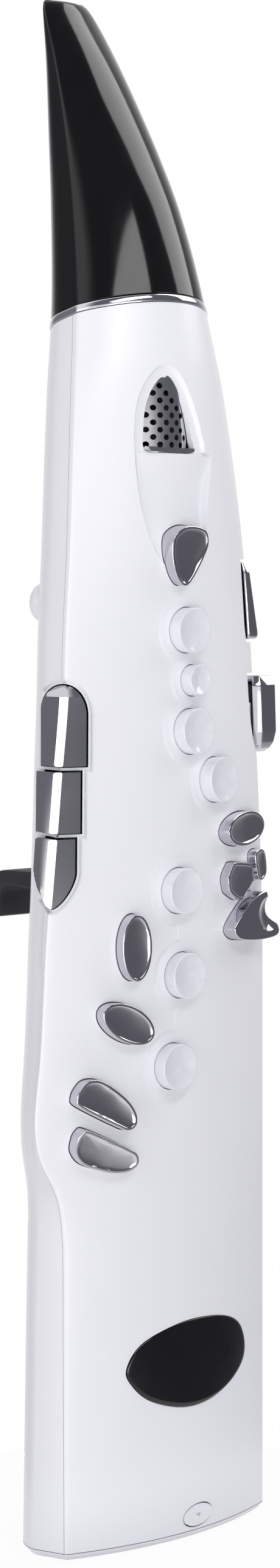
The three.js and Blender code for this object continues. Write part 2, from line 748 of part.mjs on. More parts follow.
// The side touches wrap the left front edge: a chamfered strip of skin, cut to an outline seen edge on
function ridgeRing(z, growth) {
  const ring = grow(bodyRing(z), growth);
  const last = ring.length - 1;
  const cut = (toward) => {
    const step = toward.clone().sub(ring[0]).setLength(sideKeyRidge / Math.SQRT2);
    return ring[0].clone().add(step);
  };
  return [cut(ring[1]), ...ring.slice(1), cut(ring[last])];
}
const sideKeyTotal = sideKeyHeights.reduce((sum, h) => sum + h + sideKeyRib, -sideKeyRib);
const sideKeyBottom = sideKeyTop - sideKeyTotal;
const ridgeSkin = (growth) =>
  loft(bodyLevels.map((share) => raise(ridgeRing(share * overallHeight, growth), share * overallHeight)));
const edgeOut = new THREE.Vector3(-1, -1, 0).normalize();
const edgePoint = (z) => new THREE.Vector3(leftEdge(z), edgeDepth(z), z);
function edgeOn(z, up = axisZ) {
  const across = up.clone().cross(edgeOut).normalize();
  return new THREE.Matrix4().makeBasis(across, up, across.clone().cross(up)).setPosition(edgePoint(z));
}
const sideOutlineShares = [
  [[-1, 0], [1, 0], [1, 0.62], [0.86, 0.8], [0.4, 0.95], [0, 1], [-0.5, 0.95], [-0.86, 0.86], [-1, 0.7]],
  [[-1, 0], [1, 0], [1, 1], [-1, 1]],
  [[-1, 0.62], [-0.62, 0.3], [-0.25, 0.06], [0, 0], [0.3, 0.08], [0.72, 0.26], [1, 0.5], [1, 1], [-1, 1]],
];
const sideFlangeTop = -wall - flangeGap;
const sideSkin = ridgeSkin(sideKeyRise).subtract(ridgeSkin(sideFlangeTop - flangeThickness / 2));
const sideFlangeSkin = ridgeSkin(sideFlangeTop).subtract(ridgeSkin(sideFlangeTop - flangeThickness));
const sideCutters = [];
const sideKeyNames = ["side_key_upper", "side_key_middle", "side_key_lower"];
let sideFloor = sideKeyTop;
sideKeyNames.forEach((name, i) => {
  const height = sideKeyHeights[i];
  const middle = sideFloor - height / 2;
  const matrix = edgeOn(middle);
  const outline = sideOutlineShares[i].map(([u, v]) =>
    new THREE.Vector2(u * sideKeyReach, (v - 0.5) * height));
  const plate = prism(outline, -sideSweep, sideSweep, matrix).intersect(sideSkin);
  const rim = prism(grow(outline, sideKeyFlangeWidth), -sideFlangeSweep, sideSweep, matrix)
    .intersect(sideFlangeSkin);
  const stem = pin(stemRadius, sideKeyTravel + overrun - sideBoardInset, -wall - sideBoardShift,
    matrix.clone().multiply(new THREE.Matrix4().makeTranslation(sideBoardShift, 0, 0)));
  addPart(name, plate.add(rim).add(stem), chrome);
  sideCutters.push(prism(grow(outline, sideKeyMargin), -sideSweep - sideKeyTravel - sideKeyMargin, sideSweep,
    matrix));
  sideFloor -= height + sideKeyRib;
});

// A narrow switch board behind the side touches, held on two posts of the rear shell
const sideMiddle = (sideKeyTop + sideKeyBottom) / 2;
const edgeLine = edgePoint(sideKeyTop).sub(edgePoint(sideKeyBottom)).normalize();
const sideBoardMatrix = edgeOn(sideMiddle, edgeLine)
  .multiply(new THREE.Matrix4().makeTranslation(sideBoardShift, 0, 0));
const sideBoardBack = -sideBoardInset - boardThickness;
addPart("side_switch_board",
  boxSolid(-sideBoardWidth / 2, sideBoardWidth / 2, -sideKeyTotal / 2, sideKeyTotal / 2, sideBoardBack,
    -sideBoardInset, sideBoardMatrix), circuitGreen);
const sideBoardSpace = boxSolid(-far, far, -far, far, sideBoardBack - joint, far, sideBoardMatrix);
const sidePosts = sidePostShares.map((share) => {
  const inward = (sideBoardInset + boardThickness + sideBoardShift) / Math.SQRT2;
  const z = THREE.MathUtils.lerp(sideKeyBottom, sideKeyTop, share);
  return pin(sidePostRadius, 0, backDepth, backOn(leftEdge(z) + inward, z))
    .subtract(sideBoardSpace).intersect(outer);
});

// The palm touches on the right edge: a bevelled pad on a stem that slides through a black liner
function edgeStrip(inset, low, high, depth) {
  const points = [new THREE.Vector2(far, high), new THREE.Vector2(far, low)];
  points.reverse();
  for (let i = 0; i <= palmLevels; i += 1) {
    const z = THREE.MathUtils.lerp(high, low, i / palmLevels);
    points.push(new THREE.Vector2(rightEdge(z) - inset, z));
  }
  return panel(points, -far, depth);
}
const palmMiddle = palmFront + palmDepth / 2;
const palmTop = Math.max(...palmKeys.map((key) => key.top)) + palmPocketMargin;
const palmBottom = Math.min(...palmKeys.map((key) => key.top)) - palmHeight - palmPocketMargin;
const palmPockets = palmKeys.map(({ top }) =>
  edgeStrip(palmPocket, top - palmHeight - palmPocketMargin, top + palmPocketMargin, palmPocketBack));
const linerRoom = palmPocket + joint;
let palmFrame = edgeStrip(linerRoom + palmFrameThickness, palmBottom - joint - palmFrameThickness,
  palmTop + joint + palmFrameThickness, palmPocketBack + joint + palmFrameThickness)
  .subtract(edgeStrip(linerRoom, palmBottom - joint, palmTop + joint, palmPocketBack + joint))
  .intersect(snug);
for (const { name, top, reach, topReach, inset } of palmKeys) {
  const section = (z, out, share) => {
    const inside = rightEdge(z) - inset;
    const outside = rightEdge(z) + out;
    const bevel = Math.min(palmBevel, (outside - inside) / 2);
    const middle = new THREE.Vector2((inside + outside) / 2, palmMiddle);
    return raise([
      [inside, palmFront + bevel], [inside + bevel, palmFront], [outside, palmFront],
      [outside, palmFront + palmDepth], [inside, palmFront + palmDepth],
    ].map(([x, y]) => new THREE.Vector2(x, y).lerp(middle, 1 - share)), z);
  };
  const low = top - palmHeight;
  const halfHeight = palmStemHeight / 2;
  const halfThickness = palmStemThickness / 2;
  const centre = top - palmHeight / 2;
  const liner = rightEdge(centre + halfHeight + palmStop) - linerRoom - palmFrameThickness;
  const pad = loft([
    section(low, reach, palmTipShare), section(low + palmTipHeight, reach, 1),
    section(top - palmBevel, topReach, 1), section(top, topReach, palmTopShare),
  ]);
  const stemEndX = liner - palmStop - joint;
  const stem = boxSolid(stemEndX, rightEdge(centre) - inset + overrun, palmMiddle - halfThickness,
    palmMiddle + halfThickness, centre - halfHeight, centre + halfHeight);
  const stop = boxSolid(stemEndX, liner - joint, palmMiddle - halfThickness, palmMiddle + halfThickness,
    centre - halfHeight - palmStop, centre + halfHeight + palmStop);
  addPart(name, pad.add(stem).add(stop), chrome);
  palmFrame = palmFrame.subtract(boxSolid(0, far, palmMiddle - halfThickness - keyClearance,
    palmMiddle + halfThickness + keyClearance, centre - halfHeight - keyClearance,
    centre + halfHeight + keyClearance));
}
addPart("palm_frame", palmFrame, blackPlastic);

// The speaker: an arched opening in a sunk field, a perforated plate behind it and the driver
const [grilleX, grilleZ] = [grilleShareX * footHalfWidth, grilleShareZ * overallHeight];
const grilleOutline = smoothOutline(grilleShares, grilleWidth, grilleLength, longOutlineFacets);
const onFace = (points) => panel(points, -far, faceBack, grilleX, grilleZ);
const recessFloor = grilleZ - grilleLength / 2;
const recess = onFace(grow(grilleOutline, recessMargin)).subtract(bodySkin(-recessDepth))
  .subtract(boxSolid(-far, far, -far, far, -far, recessFloor));
const grilleSeat = bodySkin(joint - grilleSink).intersect(onFace(grow(grilleOutline, grilleLip + joint)));
function within(points, x, y) {
  let odd = false;
  points.forEach((a, i) => {
    const b = points[(i + 1) % points.length];
    if (a.y > y !== b.y > y && x < a.x + ((y - a.y) / (b.y - a.y)) * (b.x - a.x)) odd = !odd;
  });
  return odd;
}
let grille = bodySkin(-grilleSink).subtract(bodySkin(-grilleSink - grilleThickness))
  .intersect(onFace(grow(grilleOutline, grilleLip)));
const holeField = grow(grilleOutline, -grilleHoleDiameter);
const rowPitch = grilleHolePitch * Math.sin(Math.PI / 3);
const gridReach = Math.ceil(grilleLength / rowPitch);
for (let row = -gridReach; row <= gridReach; row += 1) {
  for (let column = -gridReach; column <= gridReach; column += 1) {
    const x = (column + (row % 2) / 2) * grilleHolePitch;
    const y = row * rowPitch;
    if (!within(holeField, x, y)) continue;
    const matrix = frontOn(grilleX + x, grilleZ + y);
    grille = grille.subtract(pin(grilleHoleDiameter / 2, -faceBack, faceBack, matrix, holeFacets));
  }
}
addPart("speaker_grille", grille, chrome);

const driverMatrix = facePlace(grilleShareX, grilleShareZ, 0)
  .multiply(new THREE.Matrix4().makeTranslation(0, 0, -grilleSink - grilleThickness - driverGap));
const coneGeometry = new THREE.CylinderGeometry(
  driverConeRadius, driverMagnetRadius / 2, driverDepth / 2, keyFacets,
);
coneGeometry.rotateX(Math.PI / 2);
coneGeometry.translate(0, 0, overrun - driverDepth / 4);
const driverPin = (radius, from, to) => pin(radius, from, to, undefined, keyFacets);
const driverBasketRadius = (driverMagnetRadius + driverConeRadius) / 2;
const driver = driverPin(driverRadius, -driverFrameThickness, 0)
  .add(driverPin(driverMagnetRadius, -driverDepth, -driverFrameThickness))
  .add(driverPin(driverBasketRadius, -driverDepth / 2, -driverFrameThickness))
  .subtract(solidOf(coneGeometry));
addPart("speaker_driver", driver, blackPlastic, driverMatrix);

// The scoop above the drop shaped touch: a broad cylinder laid across the face
const scoopMatrix = facePlace(scoopShareX, scoopShareZ, 0)
  .multiply(new THREE.Matrix4().makeTranslation(0, 0, scoopRadius - scoopDepth))
  .multiply(new THREE.Matrix4().makeRotationY(Math.PI / 2));
const scoop = pin(scoopRadius, -scoopWidth, scoopWidth, scoopMatrix, scoopFacets);

// The badge plate lies in a shallow seat of the face
const badgeOutline = smoothOutline(badgeShares, badgeLength, badgeWidth, longOutlineFacets);
const [badgeX, badgeZ] = [badgeShareX * footHalfWidth, badgeShareZ * overallHeight];
const badgeInner = badgeProud - badgeThickness;
const badge = bodySkin(badgeProud).subtract(bodySkin(badgeInner))
  .intersect(panel(badgeOutline, -far, 0, badgeX, badgeZ));
addPart("badge_plate", badge, blackGloss);
const badgeSeat = panel(grow(badgeOutline, joint), -far, 0, badgeX, badgeZ)
  .subtract(bodySkin(badgeInner - joint));

// Slightly raised plateaus carry the round touches
const facePin = (x, z, radius) => pin(radius, 0, 2 * crownRise, frontOn(x, z), keyFacets);
const plateauChains = [roundTouches.slice(0, 4), roundTouches.slice(4)];
let plateauZone;
for (const chain of plateauChains) {
  chain.forEach(([, xShare, zShare, diameter], i) => {
    const [x, z] = [xShare * footHalfWidth, zShare * overallHeight];
    const disc = facePin(x, z, diameter / 2 + plateauMargin);
    plateauZone = plateauZone ? plateauZone.add(disc) : disc;
    if (i === 0) return;
    const [beforeX, beforeZ] = [chain[i - 1][1] * footHalfWidth, chain[i - 1][2] * overallHeight];
    const link = wasm.Manifold.hull([
      facePin(x + plateauMargin, z, plateauMargin), facePin(beforeX + plateauMargin, beforeZ, plateauMargin),
    ]);
    plateauZone = plateauZone.add(link);
  });
}
const plateau = bodySkin(plateauRise).intersect(plateauZone);

// Case screws: bosses on the front shell, wells in the rear shell, and room for both
const screwSpots = screwShares.map(([share, level]) => {
  const z = level * overallHeight;
  return [share * (share < 0 ? -leftEdge(z) : rightEdge(z)), z];
});
const postSpots = postShares.map(([share, level]) => [share * footHalfWidth, level * overallHeight]);
const rodAt = (radius, y0, y1, [x, z]) => pin(radius, y0, y1, backOn(x, z));
const wallMiddle = ([x, z]) => faceDepth(x, z) + wall / 2;
const wellFloor = bossDepth + joint + screwSeat;
const bosses = screwSpots.map((spot) => rodAt(screwBossRadius, wallMiddle(spot), bossDepth, spot)
  .add(rodAt(screwBossRadius + screwSeat, wallMiddle(spot), sheetBack, spot))
  .subtract(rodAt(screwRadius + joint, bossDepth - screwBite - overrun, bossDepth + overrun, spot)));
const posts = postSpots.map((spot) => rodAt(standoffRadius, wallMiddle(spot), sheetBack, spot));
const wellRadius = screwHeadRadius + joint + screwSeat;
const wells = screwSpots.map((spot) => rodAt(wellRadius, bossDepth + joint, far, spot));
const wellBores = screwSpots.map((spot) => rodAt(screwHeadRadius + joint, wellFloor, far, spot)
  .add(rodAt(screwRadius + joint, bossDepth, far, spot)));
screwSpots.forEach((spot, i) => {
  const head = wellFloor + joint;
  const driveSlot = boxSolid(-screwHeadRadius / 2, screwHeadRadius / 2, -screwRadius / 4, screwRadius / 4,
    head + screwHeadHeight / 2, far, backOn(...spot));
  addPart(`case_screw_${i + 1}`,
    rodAt(screwRadius, bossDepth - screwBite, head + overrun, spot)
      .add(rodAt(screwHeadRadius, head, head + screwHeadHeight, spot)).subtract(driveSlot), steel);
});

// Front shell
const podOutline = ellipse(podWidth, podLength, 2 * keyFacets);
const podZone = panel(podOutline, -far, faceBack, scoopShareX * footHalfWidth, podRise);
const pod = outer.subtract(bodySkin(-wall - scoopSink)).intersect(podZone);
let front = outer.add(plateau).subtract(inner).add(pod).intersect(frontRegion(0)).subtract(ends)
  .subtract(scoop).subtract(recess).subtract(grilleSeat).subtract(onFace(grilleOutline)).subtract(badgeSeat);
for (const part of [...bosses, ...posts]) front = front.add(part);
for (const cutter of [...cutters, ...sideCutters, ...palmPockets]) front = front.subtract(cutter);
addPart("front_shell", front, whiteGloss);

// Octave touches: two domes on the back for the left thumb
const backAt = (x, z) => {
  const middle = (leftBack(z) + rightBack(z)) / 2;
  const half = (rightBack(z) - leftBack(z)) / 2;
  const shoulder = edgeDepth(z) + side(z);
  const share = THREE.MathUtils.clamp((x - middle) / half, -1, 1);
  return shoulder + (back(z) - shoulder) * Math.sqrt(1 - share * share);
};
const backCutters = [];
for (const [name, xShare, zShare] of octavePlaceShares) {
  const [x, z] = [xShare * footHalfWidth, zShare * overallHeight];
  const across = (backAt(x + faceStep, z) - backAt(x - faceStep, z)) / (2 * faceStep);
  const along = (backAt(x, z + faceStep) - backAt(x, z - faceStep)) / (2 * faceStep);
  const matrix = facing(new THREE.Vector3(x, backAt(x, z), z), new THREE.Vector3(-across, 1, -along));
  const outline = ellipse(octaveWidth, octaveWidth);
  const rings = octaveDomeShares.map(([reach, rise]) =>
    raise(outline.map((p) => p.clone().multiplyScalar(reach)), rise * octaveRise));
  const flange = prism(grow(outline, flangeWidth), -touchFoot, flangeThickness - touchFoot);
  const end = stemEnd(matrix, boardDepth + boardThickness) + octaveTravel;
  const stem = pin(stemRadius, end, flangeThickness / 2 - touchFoot);
  addPart(name, loft([raise(outline, -touchFoot), ...rings]).add(flange).add(stem), whiteGloss, matrix);
  backCutters.push(prism(grow(outline, keyClearance), -touchFoot, octaveRise + overrun, matrix));
  backCutters.push(prism(grow(outline, flangeWidth + keyClearance), -touchFoot - octaveTravel - overrun,
    -wall - flangeGap / 2, matrix));
}

// Rear shell, with the battery opening between two bulkheads
const coverZone = (gap) => boxSolid(-far, far, coverDepth + gap, far, coverBottom + gap, coverTop - gap);
const bulkheads = [coverBottom - bulkheadThickness, coverTop].map((z) =>
  boxSolid(-far, far, bulkheadDepth, far, z, z + bulkheadThickness).intersect(bodySkin(-wall / 2)));
let rear = outer.subtract(inner).subtract(coverZone(0));
for (const part of [...bulkheads, ...wells, ...sidePosts]) rear = rear.add(part.intersect(outer));
rear = rear.subtract(frontRegion(joint)).subtract(ends);
for (const cutter of [...wellBores, ...sideCutters, ...palmPockets, ...backCutters]) {
  rear = rear.subtract(cutter);
}
addPart("rear_shell", rear, whiteGloss);

// Battery cover and the pack behind it
const packCorner = packWidth / 2 + wall + packGap;
const packRoom = backAt(packCorner, coverBottom) - wall - packGap;
addPart("battery_cover", outer.subtract(inner).intersect(coverZone(coverGap)), whiteGloss);
addPart("battery_pack",
  boxSolid(-packWidth / 2, packWidth / 2, packDepth, packRoom, coverBottom + packGap,
    coverTop - packGap), blackPlastic);

// Foot cap: a bevelled slab with a plug that fits inside the case
const footRing = bodyRing(0);
const socketDepth = boardDepth + boardThickness + joint;
const jackY = socketDepth + jackBodyRadius;
const usbY = socketDepth + usbThickness / 2 + usbShell;
const usbBox = (grown, from, to) => {
  const halfWidth = usbWidth / 2 + grown;
  const halfThickness = usbThickness / 2 + grown;
  return boxSolid(-halfWidth, halfWidth, usbY - halfThickness, usbY + halfThickness, from, to);
};
const plugRing = grow(footRing, -wall - joint);
let foot = loft([
  raise(grow(footRing, -footBevel), 0), raise(footRing, footBevel), raise(footRing, footCapHeight),
  raise(plugRing, footCapHeight), raise(plugRing, footCapHeight + footPlugHeight),
]);
const jackAt = (x) => new THREE.Matrix4().setPosition(x, jackY, 0);
const jackX = [jackSpacing, -jackSpacing];
for (const x of jackX) foot = foot.subtract(pin(jackNozzleRadius + joint, -far, far, jackAt(x), keyFacets));
foot = foot.subtract(usbBox(usbShell + joint, -far, far)).subtract(powerRoom);
addPart("foot_cap", foot, whiteGloss);

// Sockets on the main board
const plugTop = footCapHeight + footPlugHeight + joint;
["line_out_socket", "headphone_socket"].forEach((name, i) => {
  const matrix = jackAt(jackX[i]);
  const socket = pin(jackNozzleRadius, socketLift, plugTop + joint, matrix, keyFacets)
    .add(pin(jackBodyRadius, plugTop, plugTop + jackLength, matrix, keyFacets))
    .subtract(pin(jackRadius, -far, socketLift + jackHole, matrix, keyFacets));
  addPart(name, socket, blackPlastic);
});
addPart("usb_socket",
  usbBox(usbShell, socketLift, socketLift + usbLength).subtract(usbBox(0, -far, socketLift + usbHole))
    .add(boxSolid(-usbWidth / 3, usbWidth / 3, usbY - usbShell / 2, usbY + usbShell / 2,
      socketLift + usbShell, socketLift + usbLength)), steel);

// Trim ring, neck tube with its seal, mouthpiece and reed
addPart("trim_ring", bodySkin(ringProud).subtract(inner).intersect(slab(0, ringHeight)), chrome);
const neckPin = (radius, from, to) => pin(radius, from, to, ringMatrix, neckFacets);
const sealRoom = sealRadius + joint;
const sealGroove = neckPin(neckOuterRadius + overrun, sealRise - sealRoom, sealRise + sealRoom)
  .subtract(neckPin(neckOuterRadius - 2 * sealRadius - joint, 0, neckLength));
const neck = snug.intersect(slab(-neckFlange, neckFlange)).add(neckPin(neckOuterRadius, 0, neckLength))
  .add(neckPin(neckTailRadius, -neckTail, 0)).subtract(neckPin(neckBoreRadius, -far, far))
  .subtract(sealGroove);
addPart("neck_tube", neck, blackPlastic);
const sealGeometry = new THREE.TorusGeometry(
  neckOuterRadius - sealRadius, sealRadius, sealFacets, neckFacets,
);
addPart("neck_seal", solidOf(sealGeometry), blackRubber,
  ringMatrix.clone().multiply(new THREE.Matrix4().makeTranslation(0, 0, sealRise)));

const beakRing = (share) => raise(bodyRing(share * overallHeight), share * overallHeight);
const reedTop = overallHeight - reedTipGap;
const reedBottom = reedTop - reedLength;
const reedLow = back(reedBottom) - reedSeat;
const reedHigh = back(reedTop) - reedSeat;
const point = (y, z) => new THREE.Vector2(y, z);
const reedRoom = profile([
  point(reedLow - joint, reedBottom - joint), point(far, reedBottom - joint), point(far, reedTop + joint),
  point(reedHigh - joint, reedTop + joint),
], -reedWidth / 2 - joint, reedWidth / 2 + joint);
const breathEnd = new THREE.Vector3(0, 0, neckLength).applyMatrix4(ringMatrix);
const beakMiddle = (z) => (faceDepth(0, z) + back(z)) / 2;
const slotBase = overallHeight - slotDepth;
const slot = profile([
  point(beakMiddle(slotBase) - slotHeight / 2, slotBase),
  point(beakMiddle(slotBase) + slotHeight / 2, slotBase),
  point(beakMiddle(overallHeight) + slotHeight / 2, overallHeight + overrun),
  point(beakMiddle(overallHeight) - slotHeight / 2, overallHeight + overrun),
], -slotWidth / 2, slotWidth / 2);
const slotStart = new THREE.Vector3(0, beakMiddle(slotBase), slotBase + overrun);
const channelMatrix = facing(breathEnd, slotStart.clone().sub(breathEnd));
const channel = pin(breathRadius, -overrun, breathEnd.distanceTo(slotStart), channelMatrix);
const mouthpiece = loft(beakLevels.map(beakRing)).subtract(slab(-far, ringHeight + joint))
  .subtract(neckPin(neckOuterRadius + mouthpieceFit, -far, neckLength + joint)).subtract(channel)
  .subtract(slot).subtract(reedRoom);
addPart("mouthpiece", mouthpiece, blackGloss);
addPart("reed", profile([
  point(reedLow, reedBottom), point(reedLow + reedThickness, reedBottom), point(reedHigh + reedTip, reedTop),
  point(reedHigh, reedTop),
], -reedWidth / 2, reedWidth / 2), blackPlastic);

// Breath tube from the neck's tail down to the pressure sensor on the upper board
const tubeTop = tubeOverlap - neckTail;
const tubeEnd = tubeTop - breathTubeLength;
addPart("breath_tube",
  pin(breathTubeRadius, tubeEnd, tubeTop, ringMatrix)
    .subtract(pin(breathTubeBore, -far, far, ringMatrix)), siliconeGrey);
const nozzleEnd = new THREE.Vector3(0, 0, tubeEnd - tubeOverlap).applyMatrix4(ringMatrix);
const sensorTop = nozzleEnd.z + overrun;
addPart("pressure_sensor",
  boxSolid(-sensorWidth / 2, sensorWidth / 2, socketDepth, socketDepth + sensorThickness,
    sensorTop - sensorHeight, sensorTop)
    .add(pin(nozzleRadius, tubeEnd - tubeOverlap, tubeEnd + tubeOverlap, ringMatrix)), blackPlastic);

// Boards and their contact sheets, with room for the side and palm touches
function boardOutline(bottom, top) {
  const left = [];
  const right = [];
  for (let i = 0; i <= boardLevels; i += 1) {
    const z = THREE.MathUtils.lerp(bottom, top, i / boardLevels);
    const besideLeft = z > sideKeyBottom - boardRoom && z < sideKeyTop + boardRoom;
    const besideRight = z > palmBottom - boardRoom && z < palmTop + boardRoom / 4;
    right.push(point(rightEdge(z) - (besideRight ? boardInset : boardRightMargin), z));
    left.unshift(point(leftEdge(z) + (besideLeft ? boardInset : boardLeftMargin), z));
  }
  return [...right, ...left];
}
for (const [name, sheetName, bottom, top] of [
  ["main_board", "contact_sheet_lower", lowerBoardBottom, lowerBoardTop],
  ["upper_board", "contact_sheet_upper", upperBoardBottom, upperBoardTop],
]) {
  const outline = boardOutline(bottom, top);
  let board = panel(outline, boardDepth, boardDepth + boardThickness);
  let sheet = panel(grow(outline, -sheetMargin), sheetBack - sheetThickness, sheetBack);
  for (const place of domePlaces.filter((p) => p.z > bottom && p.z < top)) {
    sheet = sheet.add(rodAt(domeRadius, domeTop, sheetBack, [place.x, place.z]));
  }
  for (const spot of screwSpots) {
    board = board.subtract(rodAt(screwBossRadius + joint, 0, bossDepth, spot));
    sheet = sheet.subtract(rodAt(screwBossRadius + screwSeat + joint, 0, bossDepth, spot));
  }
  for (const spot of postSpots) sheet = sheet.subtract(rodAt(standoffRadius + joint, 0, bossDepth, spot));
  addPart(name, board, circuitGreen);
  addPart(sheetName, sheet, siliconeGrey);
}

// Thumb hook, thumb rest and strap ring hug the back
const hookOutline = hookShares.map(([u, v]) => point(backDepth + u * hookReach, hookRise + v * hookHeight));
addPart("thumb_hook",
  profile(hookOutline, hookPlace - hookWidth / 2, hookPlace + hookWidth / 2).subtract(clear), blackRubber);
const backPatch = (outline, thickness, x, z) =>
  bodySkin(joint + thickness).subtract(clear).intersect(panel(outline, backDepth / 2, far, x, z));
const rest = backPatch(ellipse(restWidth, restLength), restThickness, restPlace, restRise);
addPart("thumb_rest", rest, blackRubber);
const eyeCentre = backDepth + strapWidth / 2 - strapWire / 2;
const eyeRing = (wire) => ellipse(strapWidth - 2 * wire, strapHeight - 2 * wire)
  .map((p) => point(p.x + eyeCentre, p.y + strapRise));
const eye = profile(eyeRing(0), -strapThickness / 2, strapThickness / 2)
  .subtract(profile(eyeRing(strapWire), -strapThickness, strapThickness)).subtract(clear);
const strapFoot = backPatch(ellipse(strapFootWidth, strapFootLength), strapFootThickness, 0, strapRise);
addPart("strap_ring", eye.add(strapFoot), steel);

export default controller;
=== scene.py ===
import json
import math

import bmesh
import bpy
from mathutils import Matrix, Vector

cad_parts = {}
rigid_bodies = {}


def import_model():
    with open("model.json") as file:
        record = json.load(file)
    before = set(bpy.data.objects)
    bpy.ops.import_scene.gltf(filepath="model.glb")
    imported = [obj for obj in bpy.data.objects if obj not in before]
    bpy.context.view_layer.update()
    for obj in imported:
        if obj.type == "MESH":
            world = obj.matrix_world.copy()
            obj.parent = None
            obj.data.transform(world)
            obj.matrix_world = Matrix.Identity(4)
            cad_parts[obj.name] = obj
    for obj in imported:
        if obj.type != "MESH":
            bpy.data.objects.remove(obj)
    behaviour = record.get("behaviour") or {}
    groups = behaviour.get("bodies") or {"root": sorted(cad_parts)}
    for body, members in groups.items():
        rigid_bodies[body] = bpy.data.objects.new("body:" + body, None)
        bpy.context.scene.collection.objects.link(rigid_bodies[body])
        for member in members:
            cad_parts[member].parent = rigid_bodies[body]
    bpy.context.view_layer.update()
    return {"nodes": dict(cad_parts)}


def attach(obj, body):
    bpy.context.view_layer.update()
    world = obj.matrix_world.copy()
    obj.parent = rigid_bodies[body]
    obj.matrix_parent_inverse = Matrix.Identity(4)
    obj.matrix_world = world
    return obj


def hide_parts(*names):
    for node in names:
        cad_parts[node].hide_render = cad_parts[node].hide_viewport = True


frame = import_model()
for ready in [o for o in bpy.context.scene.objects if o.name in ("Cube", "Light", "Camera")]:
    bpy.data.objects.remove(ready)
cad = frame["nodes"]

# The camera stands in front and to the left of the instrument, level with its upper keys, and
# looks straight ahead, with its lens shifted down to take in the foot.
VIEW_TURN = math.radians(-42.69)
VIEW_PLACE = (-0.8556, -0.9112, 0.373)
LENS = 72.11
VIEW_SHIFT = -0.1196
eye = bpy.data.objects.new("camera", bpy.data.cameras.new("camera"))
eye.data.lens = LENS
eye.data.shift_y = VIEW_SHIFT
eye.location = VIEW_PLACE
eye.rotation_euler = (math.pi / 2, 0, VIEW_TURN)
bpy.context.scene.collection.objects.link(eye)
bpy.context.scene.camera = eye
bpy.context.scene.view_settings.view_transform = "Standard"


def linear(hex_colour):
    """An sRGB hex colour as the linear colour that a shader takes."""
    parts = [int(hex_colour[i : i + 2], 16) / 255 for i in (1, 3, 5)]
    return (*[p / 12.92 if p <= 0.04045 else ((p + 0.055) / 1.055) ** 2.4 for p in parts], 1)


def add_node(tree, kind, inputs=None, **settings):
    """A node of that kind, with its settings, and each input either a value or a link."""
    made = tree.nodes.new(kind)
    for name, value in settings.items():
        setattr(made, name, value)
    for socket, value in (inputs or {}).items():
        if isinstance(value, bpy.types.NodeSocket):
            tree.links.new(value, made.inputs[socket])
        else:
            made.inputs[socket].default_value = value
    return made


# A plain studio: a white room, darker where the playing face and the left side mirror it, so
# that chrome and black gloss have something dark to show. Three soft panels light the object,
# which stands on a round white table.
ROOM_LIGHT = "#FFFFFF"
# Each dark shade of the room, the way to its middle, and how close to that way it starts and is
# full, as cosines
ROOM_SHADES = [
    ("#66666C", (0.1, -0.7, 0.7), 0.55, 0.9),
    ("#6C6C72", (-0.5, -0.62, 0.62), 0.8, 0.93),
    ("#69696F", (0.76, -0.64, 0.12), 0.25, 0.96),
    ("#7E7E85", (-0.55, 0.83, 0), 0.62, 0.96),
]
world = bpy.data.worlds.new("studio")
bpy.context.scene.world = world
world.use_nodes = True
room = world.node_tree
room.nodes.clear()
way = add_node(room, "ShaderNodeTexCoord").outputs["Generated"]
room_colour = add_node(room, "ShaderNodeRGB")
room_colour.outputs["Color"].default_value = linear(ROOM_LIGHT)
room_colour = room_colour.outputs["Color"]
for shade, middle, rim, heart in ROOM_SHADES:
    toward = add_node(
        room, "ShaderNodeVectorMath", {0: way, 1: Vector(middle).normalized()},
        operation="DOT_PRODUCT",
    )
    lobe = add_node(
        room, "ShaderNodeMapRange",
        {"Value": toward.outputs["Value"], "From Min": rim, "From Max": heart},
        interpolation_type="SMOOTHSTEP",
    )
    room_colour = add_node(
        room, "ShaderNodeMix",
        {"Factor": lobe.outputs["Result"], "A": room_colour, "B": linear(shade)},
        data_type="RGBA",
    ).outputs["Result"]
seen_directly = add_node(room, "ShaderNodeLightPath").outputs["Is Camera Ray"]
room_colour = add_node(
    room, "ShaderNodeMix", {"Factor": seen_directly, "A": room_colour, "B": linear(ROOM_LIGHT)},
    data_type="RGBA",
).outputs["Result"]
room_glow = add_node(room, "ShaderNodeBackground", {"Color": room_colour, "Strength": 1.0})
add_node(room, "ShaderNodeOutputWorld", {"Surface": room_glow.outputs["Background"]})

# Each panel's name, place, width and height, power and roll
LAMPS = [
    ("panel_front", (-0.305, -0.92, 1.09), (1.0, 0.34), 4.3, 20),
    ("panel_right", (0.89, -0.3, 1.24), (0.7, 1.1), 7.4, 0),
    ("panel_left", (-1.38, -0.13, 0.54), (0.85, 0.42), 2.2, 0),
    ("panel_low", (-0.5, -1.25, 0.06), (0.95, 0.55), 5.4, 0),
]
LAMP_AIM = Vector((0, 0.03, 0.45))
for lamp_name, lamp_place, lamp_size, lamp_power, lamp_roll in LAMPS:
    lamp = bpy.data.objects.new(lamp_name, bpy.data.lights.new(lamp_name, "AREA"))
    lamp.data.shape = "RECTANGLE"
    lamp.data.size, lamp.data.size_y = lamp_size
    lamp.data.energy = lamp_power
    lamp.location = lamp_place
    turned = (LAMP_AIM - lamp.location).to_track_quat("-Z", "Y").to_matrix().to_4x4()
    lamp.rotation_euler = (turned @ Matrix.Rotation(math.radians(lamp_roll), 4, "Z")).to_euler()
    bpy.context.scene.collection.objects.link(lamp)

